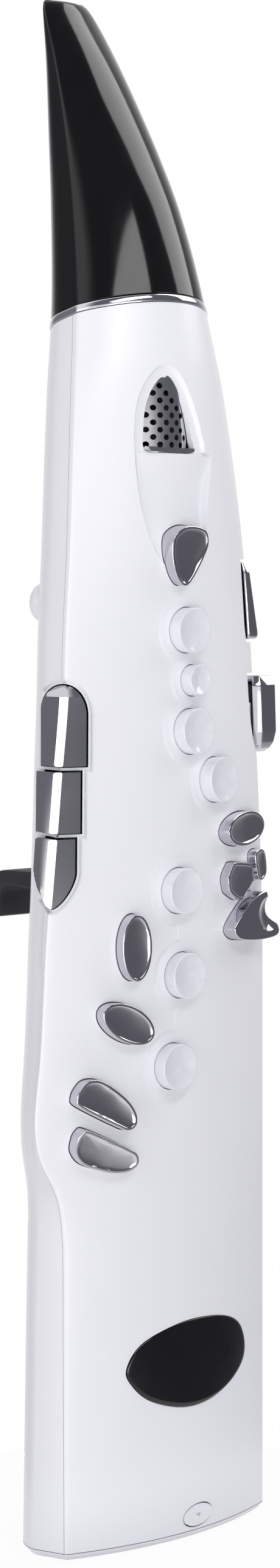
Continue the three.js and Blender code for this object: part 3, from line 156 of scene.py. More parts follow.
# The table lies a hair below the foot, so that the two never share a plane, and shows itself
# nearly white to every ray that looks at it, straight or in a mirror.
TABLE_RADIUS = 0.14
TABLE_GAP = 0.0003
FLOOR_GLOW = 0.92
floor_form = bmesh.new()
bmesh.ops.create_circle(
    floor_form, cap_ends=True, segments=128, radius=TABLE_RADIUS,
    matrix=Matrix.Translation((0, 0, -TABLE_GAP)),
)
floor_mesh = bpy.data.meshes.new("floor")
floor_form.to_mesh(floor_mesh)
floor = bpy.data.objects.new("floor", floor_mesh)
bpy.context.scene.collection.objects.link(floor)
paper = bpy.data.materials.new("matt white paper")
paper.use_nodes = True
sheet = paper.node_tree
sheet.nodes.clear()
rays = add_node(sheet, "ShaderNodeLightPath")
seen = add_node(
    sheet, "ShaderNodeMath",
    {0: rays.outputs["Is Camera Ray"], 1: rays.outputs["Is Glossy Ray"]}, operation="MAXIMUM",
)
seen = add_node(
    sheet, "ShaderNodeMath",
    {0: seen.outputs["Value"], 1: rays.outputs["Is Transmission Ray"]}, operation="MAXIMUM",
)
seen = add_node(
    sheet, "ShaderNodeMath", {0: seen.outputs["Value"], 1: FLOOR_GLOW}, operation="MULTIPLY",
)
matt = add_node(sheet, "ShaderNodeBsdfDiffuse", {"Color": linear("#F4F4F6")})
glow = add_node(sheet, "ShaderNodeEmission", {"Color": linear(ROOM_LIGHT), "Strength": 1.0})
mixed = add_node(
    sheet, "ShaderNodeMixShader",
    {0: seen.outputs["Value"], 1: matt.outputs["BSDF"], 2: glow.outputs["Emission"]},
)
add_node(sheet, "ShaderNodeOutputMaterial", {"Surface": mixed.outputs["Shader"]})
floor.data.materials.append(paper)


# The form of the case: a crowned playing face between two front edges, a rounded back, a waist
# above a hip on the left, and a long taper into the beak. Every level is a ring of points that
# starts in the left front edge, which is softly rounded, and goes over the face and round the back.
HEIGHT = 618
FOOT_HALF_WIDTH = 53.5
HIP_REACH = 16.6
TIP_DEPTH = 62
CROWN_RISE = 21
BACK_DEPTH = 44
SIDE_DEPTH = 14
WALL = 2.2
JOINT = 0.3
EDGE_ROUND = 1.1
EDGE_SHARE = 0.015
LEVEL_STEP = 4
MITRE_LEAST = 0.4
FACE_STEPS = 48
EDGE_STEPS = 5
BACK_STEPS = 36
FACE_RUN = EDGE_STEPS + FACE_STEPS
RING_COUNT = FACE_RUN + EDGE_STEPS + BACK_STEPS + 2
TAPER_SHARES = [
    (0, 1), (0.38, 1), (0.413, 0.99), (0.48, 0.98), (0.558, 0.951), (0.634, 0.88), (0.688, 0.819),
    (0.735, 0.751), (0.785, 0.643), (0.858, 0.527), (0.927, 0.398), (0.958, 0.333), (0.992, 0.249),
    (1, 0.206),
]
HIP_SHARES = [
    (0, 0.02), (0.19, 0.03), (0.209, 0.08), (0.225, 0.2), (0.236, 0.41), (0.247, 0.69),
    (0.259, 0.91), (0.275, 1), (0.319, 0.82), (0.413, 0.58), (0.48, 0.28), (0.558, 0), (1, 0),
]
EDGE_DEPTH_SHARES = [
    (0, 0), (0.413, 0), (0.48, 0.024), (0.558, 0.058), (0.634, 0.079), (0.688, 0.115),
    (0.735, 0.161), (0.785, 0.245), (0.858, 0.406), (0.893, 0.516), (0.927, 0.644),
    (0.958, 0.779), (1, 1),
]
CROWN_SHARES = [(0, 0.476), (0.558, 0.476), (0.785, 1), (1, 0.143)]
BACK_SHARES = [(0, 1), (0.413, 1), (0.785, 1.114), (1, 1.47)]
SIDE_SHARES = [
    (0, 1), (0.19, 0.9), (0.27, 0.72), (0.785, 0.65), (0.893, 0.5), (0.958, 0.2), (0.992, 0.05),
    (1, 0.04),
]
FLARE_SHARES = [(0, 1.09), (0.19, 1.055), (0.413, 0.99), (1, 1)]
HIP_FLARE_SHARE = 0.4


def follow(shares, size):
    """A smooth curve over the height, through shares of the height and of that size."""
    slopes = [(b[1] - a[1]) / (b[0] - a[0]) for a, b in zip(shares, shares[1:])]
    turns = [0 if a * b <= 0 else 2 * a * b / (a + b) for a, b in zip(slopes, slopes[1:])]
    turns = [slopes[0], *turns, slopes[-1]]

    def value(z):
        at = min(max(z / HEIGHT, shares[0][0]), shares[-1][0])
        i = 0
        while i < len(shares) - 2 and at > shares[i + 1][0]:
            i += 1
        span = shares[i + 1][0] - shares[i][0]
        t = (at - shares[i][0]) / span
        s = 1 - t
        ends = s * s * (1 + 2 * t) * shares[i][1] + t * t * (3 - 2 * t) * shares[i + 1][1]
        return size * (ends + span * (s * s * t * turns[i] - t * t * s * turns[i + 1]))

    return value


taper = follow(TAPER_SHARES, FOOT_HALF_WIDTH)
hip = follow(HIP_SHARES, HIP_REACH)
edge_depth = follow(EDGE_DEPTH_SHARES, TIP_DEPTH)
crown = follow(CROWN_SHARES, CROWN_RISE)
back = follow(BACK_SHARES, BACK_DEPTH)
side = follow(SIDE_SHARES, SIDE_DEPTH)
flare = follow(FLARE_SHARES, 1)


def left_edge(z):
    """Where the left front edge runs at a height."""
    return -taper(z) - hip(z)


def back_span(z):
    """The left and right ends of the rounded back at a height."""
    return -taper(z) * flare(z) - hip(z) * HIP_FLARE_SHARE, taper(z) * flare(z)


def face_depth(x, z):
    """How far back the playing face lies at a place: an arc between the two front edges."""
    low, high, rise = left_edge(z), taper(z), crown(z)
    half = (high - low) / 2
    radius = (half * half + rise * rise) / (2 * rise)
    reach = min(abs(x - (low + high) / 2), half)
    return edge_depth(z) - rise + radius - math.sqrt(radius * radius - reach * reach)


def body_ring_at(heights, edge=EDGE_ROUND, flat=0):
    """The ring of the body whose points lie at the given heights, one for each point.
    Its two front edges are rounded over the length edge, or cut off straight where flat is 1."""
    ring = []
    for i, z in enumerate(heights):
        low, high = left_edge(z), taper(z)
        near, far_side = back_span(z)
        shoulder = edge_depth(z) + side(z)
        soft = min(edge, (high - low) * EDGE_SHARE * edge)
        if i <= EDGE_STEPS or FACE_RUN <= i <= FACE_RUN + EDGE_STEPS:
            left = i <= EDGE_STEPS
            t = i / EDGE_STEPS if left else 1 - (i - FACE_RUN) / EDGE_STEPS
            corner = Vector((low if left else high, edge_depth(z)))
            on_face = low + soft if left else high - soft
            face_point = Vector((on_face, face_depth(on_face, z)))
            rear = Vector((near if left else far_side, shoulder)) - corner
            side_point = corner + rear.normalized() * soft
            corner = corner.lerp((side_point + face_point) / 2, flat)
            s = 1 - t
            ring.append(s * s * side_point + 2 * s * t * corner + t * t * face_point)
        elif i < FACE_RUN:
            t = (i - EDGE_STEPS) / FACE_STEPS
            x = (low + soft) * (1 - t) + (high - soft) * t
            ring.append(Vector((x, face_depth(x, z))))
        else:
            turn = math.pi * (i - FACE_RUN - EDGE_STEPS - 1) / BACK_STEPS
            middle, half = (near + far_side) / 2, (far_side - near) / 2
            y = shoulder + (back(z) - shoulder) * math.sin(turn)
            ring.append(Vector((middle + half * math.cos(turn), y)))
    return ring


def grow(points, distance):
    """The same closed outline moved outwards by a distance, with mitred corners. The distance
    may change with the place."""
    moved = []
    for i, p in enumerate(points):
        reach = distance(p) if callable(distance) else distance
        into = (p - points[i - 1]).normalized()
        out = (points[(i + 1) % len(points)] - p).normalized()
        normal = Vector((into.y + out.y, -into.x - out.x)).normalized()
        moved.append(p + normal * (reach / max(normal.x * out.y - normal.y * out.x, MITRE_LEAST)))
    return moved


def ring_at(heights, growth=0, edge=EDGE_ROUND, flat=0):
    """The ring of the body at these heights, grown by a distance, in space."""
    flat_ring = grow(body_ring_at(heights, edge, flat), growth)
    return [Vector((p.x, p.y, z)) for p, z in zip(flat_ring, heights)]


def level_rings(low, high, growth=0, edge=EDGE_ROUND, flat=0, step=LEVEL_STEP):
    """Level rings of the body from one height up to another."""
    count = max(1, round((high - low) / step))
    levels = [low + (high - low) * i / count for i in range(count + 1)]
    return [ring_at([z] * RING_COUNT, growth, edge, flat) for z in levels]


# The round touches: buttons of pearly acrylic, turned with a shallow dish for the fingertip.
# Each slides in its own hole of the case, on a pin that meets a rubber dome.
TOUCH_FOOT = 3.9
TOUCH_RISE = 6
TOUCH_DISH = 1.7
TOUCH_RIM = 0.8
TOUCH_SOFT = 0.35
DISH_EDGE = 0.12
DISH_STEPS = 8
ROUND_STEPS = 64
KEY_GAP = 0.3
OPENING_BACK = TOUCH_FOOT + 3
STEM_RADIUS = 2
STEM_GAP = 0.3
TOUCH_TRAVEL = 2
DOME_TOP = 6.6
# Each round touch's body, the shares that place it, and its width
ROUND_TOUCHES = [
    ("key_1", 0.065, 0.582, 18), ("key_2", 0.121, 0.5495, 12.3), ("key_3", 0.088, 0.5168, 18),
    ("key_4", 0.346, 0.485, 18), ("key_5", -0.079, 0.4158, 18), ("key_6", -0.05, 0.3617, 18),
    ("key_7", -0.148, 0.3044, 18),
]
MM = 0.001
WELD = 0.004
SHARP = math.radians(32)


def surface(name, colours, drift, roughness, grain, relief, stretch=(1, 1, 1), metallic=0.0):
    """A material whose colour drifts between two tones, whose gloss drifts between two
    roughnesses in patches a quarter as large, and whose skin has a grain. Drift and grain are
    sizes in millimetres, relief is the height of the grain, and stretch draws them all out."""
    made = bpy.data.materials.new(name)
    made.use_nodes = True
    tree = made.node_tree
    shader = tree.nodes["Principled BSDF"]
    shader.inputs["Metallic"].default_value = metallic
    place = add_node(tree, "ShaderNodeTexCoord").outputs["Object"]
    patterns = []
    for size in (drift, drift / 4, grain):
        spread = add_node(
            tree, "ShaderNodeMapping",
            {"Vector": place, "Scale": [1 / (size * MM * s) for s in stretch]},
        )
        noise = add_node(
            tree, "ShaderNodeTexNoise",
            {"Vector": spread.outputs["Vector"], "Scale": 1.0, "Detail": 2.0},
        )
        patterns.append(noise.outputs["Fac"])
    tone = add_node(
        tree, "ShaderNodeMix",
        {"Factor": patterns[0], "A": linear(colours[0]), "B": linear(colours[1])},
        data_type="RGBA",
    )
    gloss = add_node(
        tree, "ShaderNodeMapRange",
        {"Value": patterns[1], "From Min": 0.0, "From Max": 1.0,
         "To Min": roughness[0], "To Max": roughness[1]},
    )
    bump = add_node(tree, "ShaderNodeBump", {"Height": patterns[2], "Distance": relief * MM})
    tree.links.new(tone.outputs["Result"], shader.inputs["Base Color"])
    tree.links.new(gloss.outputs["Result"], shader.inputs["Roughness"])
    tree.links.new(bump.outputs["Normal"], shader.inputs["Normal"])
    return made


# Pearl acrylic, cast and polished: milky clouds of 4 mm under a clear gloss, for the soft glow of
# a pearl touch. The real flakes are too fine to show, so the clouds stand for them.
pearl = surface(
    "pearl acrylic, cast and polished", ("#D6D7DF", "#E8E8EF"), 4, (0.12, 0.18), 1.5, 0.01)
pearl_shader = pearl.node_tree.nodes["Principled BSDF"]
pearl_shader.inputs["Coat Weight"].default_value = 0.5
pearl_shader.inputs["Coat Roughness"].default_value = 0.05


def ellipse(length, width, steps=ROUND_STEPS):
    """An ellipse about the origin, or a circle where its length and width are the same."""
    turns = [2 * math.pi * i / steps for i in range(steps)]
    return [Vector((length / 2 * math.cos(t), width / 2 * math.sin(t))) for t in turns]


def facing(place, out, roll=0):
    """A frame at a place whose Z points out and whose Y leans upwards."""
    out = out.normalized()
    across = Vector((0, 0, 1)).cross(out).normalized()
    turned = Matrix((across, out.cross(across), out)).transposed().to_4x4()
    return Matrix.Translation(place) @ turned @ Matrix.Rotation(roll, 4, "Z")


def face_place(x_share, z_share, roll=0):
    """A frame on the playing face, by shares of the foot's half width and of the height."""
    x, z, step = x_share * FOOT_HALF_WIDTH, z_share * HEIGHT, 0.5
    across = (face_depth(x + step, z) - face_depth(x - step, z)) / (2 * step)
    along = (face_depth(x, z + step) - face_depth(x, z - step)) / (2 * step)
    return facing(Vector((x, face_depth(x, z), z)), Vector((across, -1, along)), roll)


def skin(rings, matrix=None):
    """A closed form through rings of points: the first is filled and extruded from ring to ring."""
    form = bmesh.new()
    place = form.verts.layers.int.new("place")
    first = [form.verts.new(p) for p in rings[0]]
    for i, vert in enumerate(first):
        vert[place] = i
    cap = form.faces.new(first)
    for step, ring in enumerate(rings[1:]):
        made = bmesh.ops.extrude_face_region(form, geom=[cap])["geom"]
        if step:
            bmesh.ops.delete(form, geom=[cap], context="FACES_ONLY")
        cap = next(g for g in made if isinstance(g, bmesh.types.BMFace))
        for vert in (g for g in made if isinstance(g, bmesh.types.BMVert)):
            vert.co = ring[vert[place]]
    bmesh.ops.recalc_face_normals(form, faces=form.faces)
    if matrix:
        form.transform(matrix)
    form.verts.layers.int.remove(form.verts.layers.int["place"])
    return form


def solid(form, name="cutter"):
    """The form as a mesh object of the scene, still in millimetres."""
    mesh = bpy.data.meshes.new(name)
    form.to_mesh(mesh)
    form.free()
    made = bpy.data.objects.new(name, mesh)
    bpy.context.scene.collection.objects.link(made)
    return made


def spun(profile, matrix=None, steps=ROUND_STEPS):
    """A turned solid, from a profile of radii and heights that starts and ends on the axis."""
    form = bmesh.new()
    verts = [form.verts.new((r, 0, z)) for r, z in profile]
    edges = [form.edges.new(pair) for pair in zip(verts, verts[1:])]
    bmesh.ops.spin(
        form, geom=verts + edges, axis=(0, 0, 1), cent=(0, 0, 0), angle=2 * math.pi, steps=steps,
        use_merge=True, use_duplicate=False,
    )
    bmesh.ops.remove_doubles(form, verts=form.verts, dist=WELD)
    bmesh.ops.recalc_face_normals(form, faces=form.faces)
    if matrix:
        form.transform(matrix)
    return form


def prism_form(points, low, high, matrix=None):
    """The form of a straight solid on an outline, between two heights of its own frame."""
    return skin([[p.to_3d() + Vector((0, 0, z)) for p in points] for z in (low, high)], matrix)


def arc(x, z, radius, start, stop, steps=4):
    """Points on an arc, between two angles in degrees."""
    turns = [math.radians(start + (stop - start) * i / steps) for i in range(steps + 1)]
    return [(x + radius * math.cos(t), z + radius * math.sin(t)) for t in turns]


def stem_foot(matrix):
    """The height, in a touch's own frame, at which its pin ends above the rubber dome."""
    place, out = matrix.translation, matrix.to_3x3().col[2]
    tilt = math.hypot(out.x, out.z) / abs(out.y)
    return (DOME_TOP - place.y) / out.y + STEM_GAP + STEM_RADIUS * tilt + TOUCH_TRAVEL


def finish(piece, name, body, nodes, material):
    """Brings a finished solid to metres, smooths all but its sharp edges, gives it its material
    and ties it to the CAD."""
    form = bmesh.new()
    form.from_mesh(piece.data)
    bmesh.ops.remove_doubles(form, verts=form.verts, dist=WELD)
    bmesh.ops.dissolve_degenerate(form, edges=form.edges, dist=WELD)
    bmesh.ops.scale(form, vec=(MM, MM, MM), verts=form.verts)
    form.to_mesh(piece.data)
    form.free()
    piece.data.shade_smooth()
    piece.data.set_sharp_from_angle(angle=SHARP)
    piece.data.materials.clear()
    piece.data.materials.append(material)
    piece.name = name
    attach(piece, body)
    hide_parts(*nodes)


# The forms that the touches of the face need cut from the case
openings = []
for name, x_share, z_share, width in ROUND_TOUCHES:
    matrix = face_place(x_share, z_share)
    radius = width / 2
    dish_radius = radius - TOUCH_RIM
    low = stem_foot(matrix)
    dish = []
    for i in range(DISH_STEPS + 1):
        share = i / DISH_STEPS
        depth = DISH_EDGE + (TOUCH_DISH - DISH_EDGE) * (1 - share**2)
        dish.append((dish_radius * share, TOUCH_RISE - depth))
    rim = arc(radius - TOUCH_SOFT, TOUCH_RISE - TOUCH_SOFT, TOUCH_SOFT, 90, 0)
    foot = [(radius, -TOUCH_FOOT), (STEM_RADIUS, -TOUCH_FOOT), (STEM_RADIUS, low), (0, low)]
    touch = solid(spun([*dish, *rim, *foot], matrix), name)
    finish(touch, f"{name}_pearl", name, [name], pearl)
    hole = ellipse(width + 2 * KEY_GAP, width + 2 * KEY_GAP)
    openings.append(prism_form(hole, -OPENING_BACK, TOUCH_RISE, matrix))


# The plated touches: moulded ABS with mirror chrome, flat-topped with a faint dish inside a
# raised rim. They have the shapes of the fingers' paths, and stand on pins as the round ones do.
CHROME_RISE = 4.6
CHROME_RIM = 1.0
CHROME_STEP = (0.2, 0.15)
CHROME_DISH_SHARES = (0.9, 0.8, 0.65, 0.5, 0.35, 0.2, 0.08)
STEM_LAP = 1
SQUARE_RISE = 3.8
SCOOP_SINK = 2.5
HALF_MOON_TILT = math.radians(-26.5)
DROP_SHARES = [
    (-0.46, 0.1), (-0.4, 0.33), (-0.15, 0.47), (0.15, 0.49), (0.42, 0.42), (0.5, 0.22), (0.4, 0),
    (0.2, -0.28), (0.02, -0.46), (-0.14, -0.48), (-0.3, -0.35), (-0.42, -0.12),
]
MOON_SHARES = [
    (-0.42, -0.46), (-0.1, -0.5), (0.25, -0.5), (0.42, -0.46), (0.5, -0.22), (0.44, 0.08),
    (0.26, 0.32), (0, 0.46), (-0.26, 0.5), (-0.44, 0.3), (-0.5, -0.05), (-0.49, -0.32),
]
SQUARE_SHARES = [
    (-0.5, 0.12), (-0.34, 0.4), (-0.2, 0.48), (0.3, 0.42), (0.46, 0.36), (0.5, 0.1),
    (0.44, -0.08), (0.1, -0.42), (-0.06, -0.48), (-0.38, -0.3), (-0.46, -0.18),
]
SLIM_SHARES = [
    (-0.32, 0.33), (-0.1, 0.44), (0.2, 0.41), (0.34, 0.15), (0.357, -0.28), (0.1, -0.5),
    (-0.15, -0.44), (-0.27, -0.15), (-0.33, 0.1),
]
CURVE_STEPS = 7


def smooth_outline(shares, length, width):
    """A closed smooth curve through shares of a length and a width, anticlockwise."""
    knots = [Vector((u * length, v * width)) for u, v in shares]
    points = []
    for i, b in enumerate(knots):
        a, c, d = knots[i - 1], knots[(i + 1) % len(knots)], knots[(i + 2) % len(knots)]
        for k in range(CURVE_STEPS):
            t = k / CURVE_STEPS
            lines = (2 * b, c - a, 2 * a - 5 * b + 4 * c - d, 3 * b - a - 3 * c + d)
            at = sum((line * t**power for power, line in enumerate(lines)), Vector((0, 0)))
            points.append(at / 2)
    area = sum(p.x * q.y - q.x * p.y for p, q in zip(points, points[1:] + points[:1]))
    return points if area > 0 else points[::-1]


# Chrome on moulded ABS, bright plated: a dark mirror with a faint orange peel of 2.5 mm from the
# plastic under it and hazy patches where fingers have polished it.
chrome = surface(
    "chrome plated ABS, bright plated", ("#D0CFD6", "#C6C5CC"), 9, (0.04, 0.09), 2.5, 0.006,
    metallic=1.0)
lower_moon_shares = [(u, -v) for u, v in MOON_SHARES]
# Each touch's body, the shares that place it, its roll, outline and rise, how far its whole top
# sits back, the depth of its dish, and how far its top leans
PLATED_TOUCHES = [
    ("side_oval_key", -0.519, 0.3822, 0, ellipse(14, 26), CHROME_RISE, 0, 0.7, 0),
    ("tilted_oval_key", -0.594, 0.3348, math.radians(-26), ellipse(26, 14), CHROME_RISE, 0, 0.7, 0),
    ("low_key_upper", -0.763, 0.2861, HALF_MOON_TILT, smooth_outline(MOON_SHARES, 30, 13),
     CHROME_RISE, 0, 1, 0),
    ("low_key_lower", -0.791, 0.254, HALF_MOON_TILT, smooth_outline(lower_moon_shares, 30, 13),
     CHROME_RISE, 0, 0.9, 0.13),
    ("almond_key", 0.636, 0.4519, math.radians(6), ellipse(27, 13.5), CHROME_RISE, 0, 0.8, 0),
    ("square_key", 0.57, 0.4184, 0, smooth_outline(SQUARE_SHARES, 18.4, 15.8), SQUARE_RISE, 0, 0.5,
     0),
    ("slim_key", 0.846, 0.4276, 0, smooth_outline(SLIM_SHARES, 13.2, 13.2), SQUARE_RISE, 0, 0.5, 0),
    ("front_f_key", 0.005, 0.6298, 0, smooth_outline(DROP_SHARES, 20.5, 24),
     CHROME_RISE + SCOOP_SINK, SCOOP_SINK, 1.2, 0),
]


def prism(points, low, high, matrix=None, name="cutter"):
    """A straight solid on an outline, from one height to another of its own frame."""
    return solid(prism_form(points, low, high, matrix), name)


def combine(body, other, operation):
    """Uses up another closed solid to cut a body, to add to it, or to keep what both share."""
    step = body.modifiers.new(operation, "BOOLEAN")
    step.operation = operation
    step.solver = "MANIFOLD"
    step.object = other
    ready = body.evaluated_get(bpy.context.evaluated_depsgraph_get())
    made = bpy.data.meshes.new_from_object(ready)
    body.modifiers.clear()
    old = body.data
    body.data = made
    bpy.data.meshes.remove(old)
    bpy.data.objects.remove(other)
    return body


def join(body, other):
    """Joins another closed solid on to a body."""
    return combine(body, other, "UNION")


def plated(outline, matrix, tops, dish=0.0, lean=0.0):
    """A touch on an outline: a straight body, then a ring for each inset and height of its top,
    and rings that shrink towards the middle of the dish and grow rounder. The height may change
    with the place."""

    def ring(points, height):
        return [
            Vector((p.x, p.y, lean * p.y + (height(p) if callable(height) else height)))
            for p in points
        ]

    rings = [[Vector((*p, -TOUCH_FOOT)) for p in outline]]
    rings += [ring(grow(outline, -inset), height) for inset, height in tops]
    last_inset, last_height = tops[-1]
    edge = grow(outline, -last_inset)
    even = sum(p.length for p in edge) / len(edge)
    for share in CHROME_DISH_SHARES:
        points = [(p.normalized() * even).lerp(p, share) * share for p in edge]
        if callable(last_height):
            rings.append(ring(points, last_height))
        else:
            rings.append(ring(points, last_height - dish * (1 - share * share)))
    return skin(rings, matrix)


def stem_on(matrix):
    """The pin under a plated touch, which laps into its foot."""
    pin = ellipse(2 * STEM_RADIUS, 2 * STEM_RADIUS)
    return prism(pin, stem_foot(matrix), STEM_LAP - TOUCH_FOOT, matrix)


for name, x_share, z_share, roll, outline, rise, sink, dish, lean in PLATED_TOUCHES:
    matrix = face_place(x_share, z_share, roll) @ Matrix.Translation((0, 0, -sink))
    tops = [(TOUCH_SOFT - r, h) for r, h in arc(0, rise - TOUCH_SOFT, TOUCH_SOFT, 0, 90)]
    tops += [(CHROME_RIM, rise), (CHROME_RIM + CHROME_STEP[0], rise - CHROME_STEP[1])]
    touch = solid(plated(outline, matrix, tops, dish, lean), name)
    join(touch, stem_on(matrix))
    finish(touch, f"{name}_chrome", name, [name], chrome)
    openings.append(prism_form(grow(outline, KEY_GAP), -OPENING_BACK, rise, matrix))


# The wing touch: a block of moulded ABS, chrome plated as its neighbours are, that rises to its
# right corner and is hollowed for the finger that rolls onto it. It stands on a pin as they do.
WING_SHARES = [
    (-0.5, -0.2), (-0.36, 0.06), (-0.12, 0.34), (0.08, 0.5), (0.2, 0.5), (0.22, 0.24), (0.28, 0),
    (0.44, -0.24), (0.42, -0.42), (0.16, -0.48), (-0.14, -0.47), (-0.4, -0.4),
]
WING_LENGTH = 29.5
WING_WIDTH = 19.2
WING_LOW = 5
WING_HIGH = 9
WING_SOFT = 0.5
WING_HOLLOW = 12
WING_HOLLOW_DEPTH = 2.2
WING_HOLLOW_X = 0.2
WING_HOLLOW_Y = 0.05
WING_PLACE = (0.707, 0.394)
wing_matrix = face_place(*WING_PLACE)
wing_outline = smooth_outline(WING_SHARES, WING_LENGTH, WING_WIDTH)


def wing_top(sink=0):
    """The slanting height of the wing's top, some way down from it."""
    return lambda p: WING_LOW + (WING_HIGH - WING_LOW) * (p.x / WING_LENGTH + 0.5) - sink


def cut(body, other):
    """Cuts another closed solid from a body."""
    return combine(body, other, "DIFFERENCE")


wing_rings = arc(0, 0, WING_SOFT, 0, 90)
wing_tops = [(WING_SOFT - r, wing_top(WING_SOFT - h)) for r, h in wing_rings]
wing = solid(plated(wing_outline, wing_matrix, wing_tops), "wing")
hollow = bmesh.new()
bmesh.ops.create_uvsphere(hollow, u_segments=72, v_segments=48, radius=WING_HOLLOW)
hollow_top = WING_LOW + (WING_HIGH - WING_LOW) * (WING_HOLLOW_X + 0.5)
hollow_place = (
    WING_LENGTH * WING_HOLLOW_X, WING_WIDTH * WING_HOLLOW_Y,
    hollow_top - WING_HOLLOW_DEPTH + WING_HOLLOW,
)
hollow.transform(wing_matrix @ Matrix.Translation(hollow_place))
cut(wing, solid(hollow))
join(wing, stem_on(wing_matrix))
finish(wing, "wing_key_chrome", "wing_key", ["wing_key"], chrome)
openings.append(prism_form(grow(wing_outline, KEY_GAP), -OPENING_BACK, WING_HIGH, wing_matrix))


# The power touch: a flush oval of the case's white ABS above the foot, moulded with a faint dish
# and an engraved mark. It slides in its own hole of the case.
POWER_PLACE = (0.136, 0.0136, math.radians(4))
POWER_LENGTH = 16
POWER_WIDTH = 8.2
POWER_SOFT = 0.15
POWER_DISH = ((0.45, 0.3), (0.6, 0.2))
POWER_GAP = 0.5
MARK_CORNERS = ((0.9, -1), (-1.5, 0.5), (1.4, 0.9))
MARK_DEPTH = 0.75
MARK_OVERRUN = 2
power_matrix = face_place(*POWER_PLACE)
power_outline = ellipse(POWER_LENGTH, POWER_WIDTH)
# Gloss white ABS, injection moulded: cool white with a slow drift of 60 mm from the flow of the
# melt, and an orange peel of 2 mm that softens what the gloss mirrors.
white = surface(
    "gloss white ABS, injection moulded", ("#EAEAEF", "#E6E6EC"), 60, (0.27, 0.31), 2, 0.012)
power_tops = [(POWER_SOFT - r, h) for r, h in arc(0, POWER_SOFT, POWER_SOFT, 0, 90)]
power = solid(plated(power_outline, power_matrix, [*power_tops, *POWER_DISH]), "power")
mark = [Vector(p) for p in MARK_CORNERS]
cut(power, prism(mark, -MARK_DEPTH, MARK_OVERRUN, power_matrix))
finish(power, "power_button_oval", "power_button", ["power_button"], white)
power_hole = grow(power_outline, POWER_GAP)
openings.append(prism_form(power_hole, -OPENING_BACK, TOUCH_RISE, power_matrix))


# The badge: a domed, egg shaped plate of black acrylic, cast and polished. It is glued into a
# seat of the face and left bare.
BADGE_SHARES = [
    (-0.5, 0.06), (-0.38, 0.34), (-0.07, 0.5), (0.24, 0.47), (0.43, 0.32), (0.5, 0.06),
    (0.47, -0.17), (0.33, -0.37), (0.12, -0.5), (-0.1, -0.5), (-0.33, -0.36), (-0.46, -0.15),
]
BADGE_LENGTH = 66.5
BADGE_WIDTH = 33.5
BADGE_PLACE = (0.082, 0.1125)
BADGE_SEAT = 1.2
BADGE_SEAT_OVERRUN = 3
BADGE_GAP = 0.15
BADGE_EDGE = ((-0.1, -1), (-0.1, 0.25), (-0.3, 0.45), (-0.7, 0.58))
BADGE_DOME = 1.1
BADGE_DOME_REACH = 14
# Black acrylic, cast and polished: deep black with wiping haze in patches of 12 mm.
badge_black = surface(
    "black acrylic, cast and polished", ("#0B0B0E", "#141418"), 12, (0.04, 0.12), 3, 0.004)


def draped(outline, steps):
    """A solid whose rings follow the curve of the face: each step gives how far its ring lies
    outside the outline, and how high above the face."""
    rings = []
    for offset, height in steps:
        ring = grow(outline, offset)
        rings.append([Vector((p.x, face_depth(p.x, p.y) - height, p.y)) for p in ring])
    return skin(rings)


badge_shift = Vector((BADGE_PLACE[0] * FOOT_HALF_WIDTH, BADGE_PLACE[1] * HEIGHT))
badge_outline = [p + badge_shift for p in smooth_outline(BADGE_SHARES, BADGE_LENGTH, BADGE_WIDTH)]
rim_inset, rim_height = BADGE_EDGE[-1]
badge_steps = list(BADGE_EDGE)
for inset in range(2, BADGE_DOME_REACH, 2):
    share = (BADGE_DOME_REACH - inset) / (BADGE_DOME_REACH + rim_inset)
    badge_steps.append((-inset, rim_height + (BADGE_DOME - rim_height) * (1 - share**2)))
badge = solid(draped(badge_outline, badge_steps), "badge")
finish(badge, "badge_dome", "case", ["badge_plate"], badge_black)
seat_steps = [(BADGE_GAP, -BADGE_SEAT), (BADGE_GAP, BADGE_SEAT_OVERRUN)]
badge_seat = solid(draped(badge_outline, seat_steps), "seat")


# The side touches: three plates of moulded ABS, chrome plated, that wrap round the left front
# edge, with a flat ridge along it. They sit in windows of the case, with a narrow white rib
# between them.
SIDE_TOP = 338.48
SIDE_HEIGHTS = (31.3, 23.5, 26.5)
SIDE_RIB = 2.2
SIDE_REACH = 9
SIDE_RIDGE = 0.4
SIDE_SWEEP = 14
SIDE_GAP = 0.55
SIDE_LAYERS = ((0, 1.5), (0.22, 1.85), (0.5, 2.2))
SIDE_BASIN = ((2.4, 0.35), (1.9, 0.9), (1.5, 1.2))
SIDE_SPARE = 4
SIDE_THICKNESS = 2.6
SIDE_RIDGE_GROWTH = 0.4
SIDE_STEP = 2.5
SIDE_WINDOW_BACK = 2.3
END_STEPS = 32
SIDE_HOOD = ((-40, 6), (-7, 6), (-4.4, 2.2), (-0.2, -1.3), (4, -4.8))


def rounded_end(power, left, right):
    """The points of a rounded end from left to right: the share of the width, and of the height
    that lies beyond. A power under 2 draws the end to a point."""
    points = []
    for i in range(END_STEPS + 1):
        across = math.sin(math.radians(-90 + 180 * i / END_STEPS))
        reach = left if across < 0 else right
        points.append((across, reach * (1 - (1 - abs(across) ** power) ** (1 / power))))
    return points


SIDE_OUTLINES = (
    [(-1, 0), (1, 0)] + [(u, 1 - v) for u, v in reversed(rounded_end(2, 0.3, 0.38))],
    [(-1, 0), (1, 0), (1, 1), (-1, 1)],
    rounded_end(1.5, 0.62, 0.5) + [(1, 1), (-1, 1)],
)


def clip(body, other):
    """Keeps what a body shares with another closed solid."""
    return combine(body, other, "INTERSECT")


def body_block(low, high, growth=0, edge=EDGE_ROUND, flat=0, step=LEVEL_STEP):
    """The body between two heights, grown by a distance, as a solid."""
    return solid(skin(level_rings(low, high, growth, edge, flat, step)))


def join_forms(forms, name="cutter"):
    """Several closed forms that stay clear of each other, as one solid."""
    whole = bmesh.new()
    for form in forms:
        part = bpy.data.meshes.new(name)
        form.to_mesh(part)
        form.free()
        whole.from_mesh(part)
        bpy.data.meshes.remove(part)
    return solid(whole, name)


